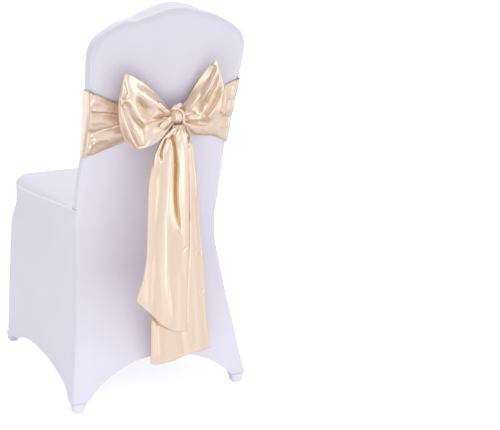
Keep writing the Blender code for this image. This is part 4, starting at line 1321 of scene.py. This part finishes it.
def make_seat_panel(material):
    left, front, right = seat_outline()
    outline = np.concatenate([left, front, right])

    def distance_to_edge(x, y):
        nearest = np.full(x.shape, 1.0)
        for start, end in zip(outline, outline[1:]):
            run = end - start
            away = np.stack([x - start[0], y - start[1]], axis=-1)
            t = np.clip((away @ run) / (run @ run), 0.0, 1.0)
            gap = np.hypot(away[..., 0] - t * run[0], away[..., 1] - t * run[1])
            nearest = np.minimum(nearest, gap)
        return nearest

    def place(x, y, rise):
        seam = smooth(SEAT, "seam_height", y)
        part = np.clip(distance_to_edge(x, y) / SEAT_EDGE_RUN, 0.0, 1.0)
        dome = np.sqrt(np.maximum(1.0 - (1.0 - part) ** 2, 0.0))
        dome = dome * smooth(SEAT, "rise", y) * ease((y - SEAT_REAR_Y) / SEAT_REAR_RUN)
        lifted = np.where(rise > 0.0, rise * SEAT_COLLAR + np.where(rise >= 1.0, dome, 0.0), 0.0)
        return np.stack([x, y, seam + lifted], axis=-1)

    collar = np.linspace(0.0, 1.0, SEAT_COLLAR_ROWS)
    roll = -SEAM_ROLL * bump(collar * SEAT_COLLAR, SEAM_ROLL_WIDTH)
    face, edge = dished(
        outline, len(left) - 1, lambda along: np.ones_like(along), (roll, collar),
        lambda across: np.full_like(across, SEAT_REAR_Y), place
    )
    # Painted highlight along the seat's seam
    seat = joined("seat", [
        grid_piece("seat_face", face), grid_piece("seat_edge", edge, True, seam=seam_highlight_share(edge))
    ])
    return finish_sheet(
        seat, "seat_panel", COVER_CLOTH, material,
    )


# Foot pockets

def pocket_rings():
    """Height, inset and size of each ring of a pocket, from its rim down to its sole."""
    turn = POCKET_TURN * POCKET_TOP
    rings = [(height, 0.0, 1.0) for height in np.linspace(POCKET_TOP, turn, POCKET_WALL_RINGS)]
    for angle in np.linspace(0.0, math.pi / 2, POCKET_TURN_RINGS)[1:]:
        rings.append((turn * (1.0 - math.sin(angle)), POCKET_EDGE * (1.0 - math.cos(angle)), 1.0))
    return rings + [(0.0, POCKET_EDGE, size) for size in (0.75, 0.5, 0.25, 0.0)]


def make_foot_pocket(name, node, x, y, side, toward_front, material):
    """Closed pocket over a leg's end; x and y are its outer corner."""
    around = np.linspace(0.0, 2.0 * math.pi, POCKET_POINTS)
    unit_x = np.sign(np.cos(around)) * np.abs(np.cos(around)) ** POCKET_ROUNDNESS
    unit_y = np.sign(np.sin(around)) * np.abs(np.sin(around)) ** POCKET_ROUNDNESS
    rows = []
    for height, inset, size in pocket_rings():
        taper = mix(POCKET_TAPER, 1.0, height / POCKET_TOP)
        lean = POCKET_LEAN * POCKET_WIDTH * (1.0 - taper)
        flare = 0.5 * POCKET_FLARE * height / POCKET_TOP
        centre_x = x - side * (POCKET_WIDTH / 2 - lean - flare)
        centre_y = y - toward_front * (POCKET_DEPTH / 2 - lean - flare)
        roll = SEAM_ROLL * bump(POCKET_TOP - height - POCKET_ROLL_DROP, SEAM_ROLL_WIDTH)
        roll -= POCKET_TUCK * bump(POCKET_TOP - height, POCKET_TUCK_WIDTH)
        half_x = (POCKET_WIDTH / 2 * taper + flare - inset) * size + roll
        half_y = (POCKET_DEPTH / 2 * taper + flare - inset) * size + roll
        level = np.full_like(around, height)
        rows.append(np.stack([centre_x + half_x * unit_x, centre_y + half_y * unit_y, level], 1))
    pocket = joined(name, [grid_piece(name, rows, flipped=True)])
    return finish_sheet(
        pocket, node, COVER_CLOTH, material,
    )


def make_foot_pockets(material):
    rear_y = smooth(REAR, "rear_y", POCKET_TOP) - BACK_RISE * edge_scale(0.0)
    front_y = smooth(FRONT, "front_y", POCKET_TOP)
    ends = (
        ("rear", smooth(REAR, "half_width", POCKET_TOP), rear_y, -1),
        ("front", smooth(FRONT, "half_width", POCKET_TOP), front_y, 1),
    )
    for side_name, side in (("left", -1), ("right", 1)):
        for end_name, half_width, y, toward_front in ends:
            make_foot_pocket(
                f"{end_name}_foot_{side_name}", f"foot_pocket_{end_name}_{side_name}",
                side * half_width, y, side, toward_front, material
            )


# Folds drawn over a sheet

def rounded(path, steps=10):
    """Points on a smooth line through the drawn ones."""
    path = np.array(path, float)
    if len(path) < 3:
        return np.linspace(path[0], path[-1], steps + 1)
    ends = np.concatenate([[2 * path[0] - path[1]], path, [2 * path[-1] - path[-2]]])
    t = np.linspace(0.0, 1.0, steps, endpoint=False)[:, None]
    runs = []
    for a, b, c, d in zip(ends, ends[1:], ends[2:], ends[3:]):
        runs.append(0.5 * (
            2 * b + (c - a) * t + (2 * a - 5 * b + 4 * c - d) * t ** 2
            + (3 * b - a - 3 * c + d) * t ** 3
        ))
    return np.concatenate(runs + [path[-1:]])


def fold_height(x, z, fold):
    """Height of one drawn fold: steep or gentle on either side of its line."""
    path = rounded(fold.path)
    nearest = np.full(x.shape, np.inf)
    signed = np.zeros(x.shape)
    share = np.zeros(x.shape)
    lengths = np.linalg.norm(np.diff(path, axis=0), axis=1)
    run = 0.0
    for start, end, length in zip(path, path[1:], lengths):
        way = (end - start) / max(length, NO_LENGTH)
        px, pz = x - start[0], z - start[1]
        t = np.clip(px * way[0] + pz * way[1], 0.0, length)
        gap = np.hypot(px - t * way[0], pz - t * way[1])
        closer = gap < nearest
        nearest = np.where(closer, gap, nearest)
        signed = np.where(closer, way[0] * pz - way[1] * px, signed)
        share = np.where(closer, (run + t) / lengths.sum(), share)
        run += length
    width = np.where(signed > 0.0, fold.left, fold.right)
    width = width * mix(fold.spread, 1.0, ease(share / FOLD_SPREAD_RUN))
    ends = ease(share / fold.start) * ease((1.0 - share) / fold.end)
    crest = CREST * width
    fall = np.sqrt(nearest ** 2 + crest ** 2) - crest
    return fold.height * ends * np.exp(-fall / (FOLD_FALL * width))


def drawn_folds(x, z, folds):
    """Height of all the drawn folds together."""
    return sum(fold_height(x, z, fold) for fold in folds)


def ripple(x, z):
    """Slight unevenness of the satin, between -1 and 1."""
    waves = (np.sin(a * x + b * z + c) for a, b, c in RIPPLE_WAVES)
    return sum(waves) / len(RIPPLE_WAVES)


# Sash band

def band_path(height, place):
    """Plan point of the band's outer face, and its outward direction."""
    half_width = smooth(REAR, "half_width", height)
    rear_y = smooth(REAR, "rear_y", height)
    side_x = half_width + GUSSET_REACH + SASH_STAND_OFF
    rear = rear_y - BACK_RISE - SASH_STAND_OFF
    front = rear_y - BACK_RISE + smooth(BACKREST, "depth", height) + SASH_STAND_OFF
    radius = BAND_CORNER_RADIUS
    inner_x = side_x - radius
    run = min(int(place), len(BAND_STEPS) - 1)
    part = place - run
    corners = {1: (-1, rear + radius, 1.5), 3: (-1, front - radius, 1.0),
               5: (1, front - radius, 0.5), 7: (1, rear + radius, 0.0)}
    if run in corners:
        side, y, turn = corners[run]
        angle = math.pi * (turn - 0.5 * part)
        out = (math.cos(angle), math.sin(angle))
        return side * inner_x + out[0] * radius, y + out[1] * radius, out
    if run == 0:
        return mix(BAND_LEFT_START, -inner_x, part), rear, (0.0, -1.0)
    if run == 2:
        return -side_x, mix(rear + radius, front - radius, part), (-1.0, 0.0)
    if run == 4:
        return mix(-inner_x, inner_x, part), front, (0.0, 1.0)
    if run == 6:
        return side_x, mix(front - radius, rear + radius, part), (1.0, 0.0)
    return mix(inner_x, BAND_RIGHT_END, part), rear, (0.0, -1.0)


def pleat_share(part):
    """0 in the creases that run along the band and 1 on the soft ridges between them."""
    share = np.zeros_like(part)
    for low, high in zip(BAND_CREASES, BAND_CREASES[1:]):
        inside = (part >= low) & (part <= high)
        t = np.clip((part - low) / (high - low), 0.0, 1.0)
        share = np.where(inside, np.sin(math.pi * t ** BAND_PLEAT_LEAN), share)
    return share


def selvage(from_edge):
    """Narrow rolled edge of a satin strip."""
    return SELVAGE_ROLL * bump(from_edge - SELVAGE_ROLL, SELVAGE_WIDTH)


def make_band(material):
    places = [np.zeros(1)]
    for run, steps in enumerate(BAND_STEPS):
        places.append(np.linspace(run, run + 1.0, steps + 1)[1:])
    parts = np.linspace(0.0, 1.0, BAND_ROWS)
    columns = []
    for place in np.concatenate(places):
        height = mix(smooth(BAND, "low", place), smooth(BAND, "high", place), parts)
        x, y, out = band_path(height, place)
        proud = smooth(BAND, "pleat", place) * pleat_share(parts) + smooth(BAND, "lift", place)
        span = height[-1] - height[0]
        proud = proud + selvage(parts * span) + selvage((1.0 - parts) * span)
        if out[1] < 0.0:
            folds = drawn_folds(np.asarray(x + 0.0 * height), height, BAND_FOLDS)
            proud = proud - out[1] * np.maximum(folds, -BAND_DEEPEST)
        columns.append(np.stack([x + out[0] * proud, y + out[1] * proud, height], axis=1))
    points = np.stack(columns, axis=1)
    waves = -BAND_RIPPLE * ripple(points[..., 0], points[..., 2])
    points += normals_of(points) * waves[..., None]
    band = grid_piece("sash_wrap", points, flipped=True, shaded_edges=True)
    return finish_sheet(
        band, "sash_band", SASH_CLOTH, material,
    )


# Bow

def bow(out, knot, middle, fold):
    """Curve from the knot to the outer fold, drawn towards a middle point."""
    return (1 - out) ** 2 * knot + 2 * out * (1 - out) * middle + out * out * fold


def loop_points(ribs, side):
    """Grid of a bow loop; turn goes from -1 at the knot, 0 at the outer fold, to 1 behind."""
    turns = np.linspace(-1.0, 1.0, LOOP_COLUMNS)
    turn, across = np.meshgrid(turns, np.linspace(0.0, 1.0, LOOP_ROWS))
    out = np.cos(turn * math.pi / 2)
    knot_x = KNOT_CENTRE.x + side * LOOP_KNOT_GAP
    knot_z = KNOT_CENTRE.z + mix(LOOP_KNOT_HALF_HEIGHT, -LOOP_KNOT_HALF_HEIGHT, across)
    x = bow(out, knot_x, smooth(ribs, "middle_x", across), smooth(ribs, "fold_x", across))
    z = bow(out, knot_z, smooth(ribs, "middle_z", across), smooth(ribs, "fold_z", across))
    lean = np.maximum(out, 0.0) ** LOOP_LEAN
    centre_y = mix(KNOT_CENTRE.y, smooth(ribs, "fold_y", across), lean)
    half_gap = LOOP_KNOT_HALF_DEPTH + smooth(ribs, "gap", across) * out
    half_gap = half_gap * mix(LOOP_EDGE_PRESSED, 1.0, ease(across / LOOP_EDGE_RUN))
    face = np.sign(turn) * np.sqrt(np.maximum(1.0 - out, 0.0))
    fading = np.maximum(1.0 - out, 0.0) ** LOOP_PLEAT_FADE
    growing = np.minimum(1.0, LOOP_PLEAT_AT_KNOT + LOOP_PLEAT_GROWTH * out)
    pleat = LOOP_PLEAT * np.cos(2 * math.pi * LOOP_PLEATS * across) * (fading * growing)
    gather = LOOP_GATHER * np.cos(2 * math.pi * LOOP_GATHERS * across)
    gather = gather * bump(out, LOOP_GATHER_RUN)
    share = np.where(turn < 0, 1.0, LOOP_REAR_PLEAT)
    y = centre_y + half_gap * face + (pleat + gather) * share
    return np.stack([x, y, z], axis=-1), turn


def make_loop(name, node, ribs, folds, side, material):
    points, turn = loop_points(ribs, side)
    outward = normals_of(points) * side
    on_face = ease(-turn / LOOP_FACE_FADE)
    relief = drawn_folds(points[..., 0], points[..., 2], folds) * on_face
    relief += LOOP_RIPPLE * ripple(points[..., 0], points[..., 2])
    along = run_lengths(points, 0)
    relief += selvage(along - along[:1]) + selvage(along[-1:] - along)
    points = points + outward * relief[..., None]
    loop = grid_piece(name, points, flipped=side < 0)
    return finish_sheet(loop, node, SASH_CLOTH, material)


def wound_strip(strip):
    """Folded strip of the sash along its line, oval in section and closed at its ends."""
    centre = rounded(strip.line)
    along = np.gradient(centre, axis=0)
    sideways = np.stack([-along[:, 2], along[:, 0]], axis=1)
    sideways /= np.linalg.norm(sideways, axis=1)[:, None]
    run = np.linspace(-1.0, 1.0, len(centre))
    taper = np.sqrt(np.clip(1.0 - np.abs(run) ** STRIP_BLUNTNESS, 0.0, 1.0))[:, None]
    turn = np.linspace(0.0, 2.0 * math.pi, STRIP_POINTS)
    across = strip.half_width * taper * np.cos(turn)
    crease = bump(np.cos(turn) - STRIP_CREASE_PLACE, STRIP_CREASE_WIDTH)
    out = strip.fullness * taper * np.sin(turn) * (1.0 - STRIP_CREASE_DEPTH * crease)
    x = centre[:, :1] + sideways[:, :1] * across
    z = centre[:, 2:] + sideways[:, 1:] * across
    return grid_piece(strip.name, np.stack([x, centre[:, 1:2] - out, z], axis=-1))


def make_knot(material):
    """Small wound knot, with the turn over its right side and the two ends tucked behind it."""
    bpy.ops.object.select_all(action="DESELECT")
    bpy.ops.mesh.primitive_uv_sphere_add(
        segments=KNOT_SEGMENTS, ring_count=KNOT_RINGS, radius=1.0
    )
    nub = bpy.context.active_object
    mesh = nub.data
    flat = vertex_places(mesh)
    full = np.sign(flat) * np.abs(flat) ** KNOT_ROUNDNESS
    placed = full * KNOT_HALF_SIZE + KNOT_NUB
    facing = ease(-flat[:, 1] / KNOT_FACE_FADE)
    relief = drawn_folds(placed[:, 0], placed[:, 2], KNOT_FOLDS) * facing
    place_vertices(mesh, placed + flat * relief[:, None])
    mesh.uv_layers[0].name = "cloth"
    mesh.update()
    knot = joined("knot", [nub] + [wound_strip(strip) for strip in KNOT_STRIPS])
    bpy.ops.object.mode_set(mode="EDIT")
    bpy.ops.mesh.select_all(action="SELECT")
    bpy.ops.mesh.normals_make_consistent(inside=False)
    bpy.ops.object.mode_set(mode="OBJECT")
    bpy.ops.object.shade_smooth()
    knot.data.materials.clear()
    knot.data.materials.append(material)
    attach(knot, "root")
    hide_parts("bow_knot")
    return knot


# Tails

def fold_depth(folds, x, below_knot):
    """How far the soft folds of a tail lie towards the cover."""
    total = np.zeros_like(x)
    for fold in folds:
        away = (x - fold.x - fold.drift * below_knot) / fold.half_width
        present = ease(below_knot / fold.grown) * (1.0 - ease(below_knot / fold.gone))
        total = total + fold.depth * np.exp(-away * away) * present
    return total


def tail_hem_relief(x, above_hem):
    """Turned-up hem with a row of stitches that dimples the satin."""
    band = TAIL_HEM_THICKENING * (1.0 - ease((above_hem - TAIL_HEM_DEPTH) / TAIL_HEM_STEP))
    groove = bump(above_hem - TAIL_HEM_DEPTH + TAIL_STITCH_INSET, TAIL_STITCH_WIDTH)
    along = np.cos(2.0 * math.pi * x / TAIL_STITCH_SPACING)
    stitches = 1.0 - TAIL_STITCH_DIMPLE + TAIL_STITCH_DIMPLE * along
    return band - TAIL_STITCH_DEPTH * groove * stitches


def tail_points(stations, hem, folds, drawn, depth):
    """Grid of a tail from the knot down to its hem, with soft folds and drawn ones."""
    top = stations[0].height + TAIL_TUCK
    upward = sorted(stations)
    columns = np.linspace(0.0, 1.0, TAIL_COLUMNS)
    across, down = np.meshgrid(columns, np.linspace(1.0, 0.0, TAIL_ROWS))
    height = mix(top, smooth(hem, "height", across), down)
    left = smooth(upward, "left", height)
    right = smooth(upward, "right", height)
    x = mix(left, right, across)
    below = np.maximum(stations[0].height - height, 0.0)
    gather = TAIL_GATHER * np.cos(2 * math.pi * TAIL_GATHER_PLEATS * across)
    gather = gather * np.exp(-below / TAIL_GATHER_LENGTH)
    toward = drawn_folds(x, height, drawn) + TAIL_RIPPLE * ripple(x, height)
    toward += tail_hem_relief(x, height - smooth(hem, "height", across))
    toward += selvage(x - left) + selvage(right - x)
    return np.stack([x, depth + gather + fold_depth(folds, x, below) - toward, height], axis=-1)


def ribbon_points(one_edge, other_edge, depth):
    """Strip between two drawn edges, rounded up off what it lies on, as depth gives it."""
    rows = np.linspace(0.0, 1.0, TURNED_EDGE_ROWS)
    part = np.linspace(0.0, 1.0, TURNED_EDGE_COLUMNS)
    sides = []
    for edge in (rounded(one_edge), rounded(other_edge)):
        run = np.linspace(0.0, 1.0, len(edge))
        x, z = (np.interp(rows, run, edge[:, axis]) for axis in (0, 1))
        sides.append(np.stack([x, z], 1))
    one, other = sides
    flat = one[:, None] * (1.0 - part[:, None]) + other[:, None] * part[:, None]
    roundness = np.sin(np.linspace(*TURNED_EDGE_ARC, TURNED_EDGE_COLUMNS) * math.pi)
    y = depth(flat[..., 0], flat[..., 1]) - TURNED_EDGE_LIFT * roundness
    return np.stack([flat[..., 0], y, flat[..., 1]], axis=-1)


def make_front_tail(material):
    depth = KNOT_CENTRE.y - FRONT_TAIL_OUT
    points = tail_points(FRONT_TAIL, FRONT_TAIL_HEM, FRONT_TAIL_FOLDS, FRONT_TAIL_DRAWN, depth)

    def tail_depth(x, z):
        below = FRONT_TAIL[0].height - z
        soft = fold_depth(FRONT_TAIL_FOLDS, x, below)
        return depth + soft - drawn_folds(x, z, FRONT_TAIL_DRAWN)

    strip = ribbon_points(TURNED_EDGE_FOLD, TURNED_EDGE_FREE, tail_depth)
    tail = joined("front_tail", [
        grid_piece("tail_cloth", points, shaded_edges=True), grid_piece("turned_edge", strip, True)
    ])
    return finish_sheet(
        tail, "tail_front", SASH_CLOTH, material,
    )


def make_rear_tail(material):
    depth = KNOT_CENTRE.y + REAR_TAIL_IN
    points = tail_points(REAR_TAIL, REAR_TAIL_HEM, REAR_TAIL_FOLDS, REAR_TAIL_DRAWN, depth)
    tail = grid_piece("rear_tail", points, shaded_edges=True)
    return finish_sheet(
        tail, "tail_rear", SASH_CLOTH, material,
    )


# Stage

# Brightness of the tent by azimuth, where 0 is behind the chair and 90 on its right
TENT = table(
    "azimuth light",
    (-180.0, 0.45),
    (-130.0, 0.45),
    (-95.0, 0.24),
    (-65.0, 0.21),
    (-42.0, 0.26),
    (-27.0, 0.78),
    (-12.0, 0.46),
    (10.0, 0.38),
    (30.0, 0.36),
    (50.0, 0.30),
    (65.0, 0.76),
    (85.0, 0.25),
    (120.0, 0.24),
    (180.0, 0.45),
)
TENT_ROOF = (0.34, 0.34, 0.34, 1.0)
TENT_GROUND = (0.33, 0.335, 0.35, 1.0)
TENT_BELOW = (0.20, 0.15, 0.09, 1.0)
TENT_LIGHT = 2.56

# Elevations in degrees over which the panels give way to the roof, to the ground and to
# what is deep below
ROOF_RANGE = (25.0, 60.0)
GROUND_RANGE = (-22.0, -50.0)
DEEP_RANGE = (-48.0, -68.0)

# Panels dimmer than this warm towards TENT_WARM as they get darker
TENT_WARM_BELOW = 0.38
TENT_WARM = (1.0, 0.71, 0.30)

ROOM_LIGHT = (0.69, 0.69, 0.69, 1.0)
WHITE = (1.0, 1.0, 1.0, 1.0)
FLOOR_SIZE = 60.0
FLOOR_DROP = 0.0005
FLOOR_GLOW = 0.16
FLOOR_GLOW_SEEN = 0.50

# Softboxes; azimuth 0 is behind the chair and 90 on its right, and each faces a height
# above the floor under the backrest
SOFTBOXES = table(
    "name azimuth elevation distance size power height seen",
    ("key", -8.0, 34.0, 2.7, (1.3, 0.9), 2.0, 0.55, True),
    ("right_fill", 60.0, 25.0, 2.8, (0.6, 1.6), 3.5, 0.55, True),
    ("top", 165.0, 74.0, 2.4, (1.6, 1.3), 18.0, 0.55, True),
    ("low_fill", -10.0, 0.0, 0.7, (1.2, 0.1), 1.10, 0.06, False),
)

LENS = 79.1
SENSOR_WIDTH = 36.0
LENS_SHIFT = 0.25
SIGHT_END = 100.0
CAMERA_PLACE = (-1.0829, -2.2888 + WAIST_Y, 1.1430)
CAMERA_YAW = math.radians(24.14)
CAMERA_PITCH = math.radians(15.48)
CAMERA_ROLL = math.radians(-0.26)


def make_stage():
    """Pale floor that the camera sees a little brighter and the satin doesn't mirror."""
    bpy.ops.object.select_all(action="DESELECT")
    bpy.ops.mesh.primitive_plane_add(size=FLOOR_SIZE, location=(0.0, 0.0, -FLOOR_DROP))
    floor = bpy.context.active_object
    floor.name = "floor"
    material, tree, shader = new_material("pale_floor")
    set_inputs(tree, shader, {
        "Base Color": (0.97, 0.97, 0.97, 1.0),
        "Roughness": 0.9,
        "Emission Color": WHITE,
        "Emission Strength": FLOOR_GLOW,
    })
    surface = shader.outputs["BSDF"]
    glow = add_node(tree, "Emission", {"Strength": FLOOR_GLOW_SEEN}).outputs["Emission"]
    brighter = add_node(tree, "AddShader", {0: surface, 1: glow}).outputs["Shader"]
    clear = add_node(tree, "BsdfTransparent", {}).outputs["BSDF"]
    ray = add_node(tree, "LightPath", {}).outputs
    looked_at = mixed_shader(tree, ray["Is Camera Ray"], surface, brighter)
    mirrored = mixed_shader(tree, ray["Is Glossy Ray"], looked_at, clear)
    set_inputs(tree, tree.nodes["Material Output"], {"Surface": mirrored})
    floor.data.materials.append(material)


def add_softbox(box):
    """Area light that faces the backrest or the floor below it."""
    light = bpy.data.lights.new(box.name, "AREA")
    light.shape = "RECTANGLE"
    light.size, light.size_y = box.size
    light.energy = box.power
    lamp = bpy.data.objects.new(box.name, light)
    bpy.context.scene.collection.objects.link(lamp)
    a, e = math.radians(box.azimuth), math.radians(box.elevation)
    away = Vector((math.sin(a) * math.cos(e), -math.cos(a) * math.cos(e), math.sin(e)))
    lamp.location = Vector((0.0, WAIST_Y, box.height)) + away * box.distance
    lamp.rotation_euler = away.to_track_quat("Z", "Y").to_euler()
    lamp.visible_camera = box.seen
    lamp.visible_glossy = box.seen


def panel_colour(light):
    """Colour of a tent panel, warmer the darker it is."""
    lit = min(light / TENT_WARM_BELOW, 1.0)
    return [light * mix(warm, 1.0, lit) for warm in TENT_WARM] + [1.0]


def tent_panels(tree, direction):
    """Panels and gaps of the tent by azimuth."""
    turned = add_node(
        tree, "Mapping", {"Vector": direction, "Rotation": (0.0, 0.0, math.pi / 2)}
    )
    around = add_node(
        tree, "TexGradient", {"Vector": turned.outputs["Vector"]}, gradient_type="RADIAL"
    )
    panels = add_node(tree, "ValToRGB", {"Fac": around.outputs["Fac"]})
    ramp = panels.color_ramp
    while len(ramp.elements) < len(TENT):
        ramp.elements.new(0.5)
    for element, panel in zip(ramp.elements, TENT):
        element.position = panel.azimuth / 360.0 + 0.5
        element.color = panel_colour(panel.light)
    return panels.outputs["Color"]


def beyond(tree, height, elevations):
    """0 before the first of two elevations and 1 past the second."""
    low, high = (math.sin(math.radians(elevation)) for elevation in elevations)
    inputs = {"Value": height, "From Min": low, "From Max": high}
    return add_node(tree, "MapRange", inputs, interpolation_type="SMOOTHSTEP").outputs["Result"]


def mirrored_tent(tree, direction):
    """The tent as the satin mirrors it: panels, a roof over them and the ground below."""
    height = add_node(tree, "SeparateXYZ", {"Vector": direction}).outputs["Z"]
    panels = tent_panels(tree, direction)
    roofed = mixed_colour(tree, beyond(tree, height, ROOF_RANGE), panels, TENT_ROOF)
    ground = mixed_colour(tree, beyond(tree, height, DEEP_RANGE), TENT_GROUND, TENT_BELOW)
    whole = mixed_colour(tree, beyond(tree, height, GROUND_RANGE), roofed, ground)
    inputs = {0: whole, "Scale": TENT_LIGHT}
    return add_node(tree, "VectorMath", inputs, operation="SCALE").outputs["Vector"]


def make_lights():
    """Even pale tent, patterned where the satin mirrors it and white to the camera."""
    world = bpy.data.worlds.new("studio")
    bpy.context.scene.world = world
    world.use_nodes = True
    tree = world.node_tree
    ray = add_node(tree, "LightPath", {}).outputs
    direction = add_node(tree, "TexCoord", {}).outputs["Generated"]
    tent = mixed_colour(tree, ray["Is Glossy Ray"], ROOM_LIGHT, mirrored_tent(tree, direction))
    backdrop = mixed_colour(tree, ray["Is Camera Ray"], tent, WHITE)
    set_inputs(tree, tree.nodes["Background"], {"Color": backdrop, "Strength": 1.0})
    for box in SOFTBOXES:
        add_softbox(box)
    bpy.context.scene.view_settings.view_transform = "Standard"


def make_camera():
    """Long lens from behind and to the left, looking slightly down."""
    camera = bpy.data.cameras.new("camera")
    camera.lens = LENS
    camera.sensor_width = SENSOR_WIDTH
    camera.shift_x = LENS_SHIFT
    camera.clip_end = SIGHT_END
    holder = bpy.data.objects.new("camera", camera)
    bpy.context.scene.collection.objects.link(holder)
    level = math.cos(CAMERA_PITCH)
    sideways, onward = math.sin(CAMERA_YAW), math.cos(CAMERA_YAW)
    ahead = Vector((sideways * level, onward * level, -math.sin(CAMERA_PITCH)))
    right = Vector((onward, -sideways, 0.0))
    up = right.cross(ahead)
    rolled_right = right * math.cos(CAMERA_ROLL) + up * math.sin(CAMERA_ROLL)
    rolled_up = up * math.cos(CAMERA_ROLL) - right * math.sin(CAMERA_ROLL)
    turn = Matrix((rolled_right, rolled_up, -ahead)).transposed()
    holder.rotation_euler = turn.to_euler()
    holder.location = CAMERA_PLACE
    bpy.context.scene.camera = holder


def main():
    make_camera()
    make_lights()
    make_stage()
    cloth = stretch_cloth()
    make_back_panel(cloth)
    make_inner_back_panel(cloth)
    make_seat_panel(cloth)
    make_side_skirt("left_skirt", "skirt_left", -1, cloth)
    make_side_skirt("right_skirt", "skirt_right", 1, cloth)
    make_front_skirt(cloth)
    make_foot_pockets(cloth)
    shiny = satin()
    make_band(shiny)
    make_knot(shiny)
    make_loop("loop_left", "bow_loop_left", LEFT_LOOP, LEFT_LOOP_FOLDS, -1, shiny)
    make_loop("loop_right", "bow_loop_right", RIGHT_LOOP, RIGHT_LOOP_FOLDS, 1, shiny)
    make_front_tail(shiny)
    make_rear_tail(shiny)


main()
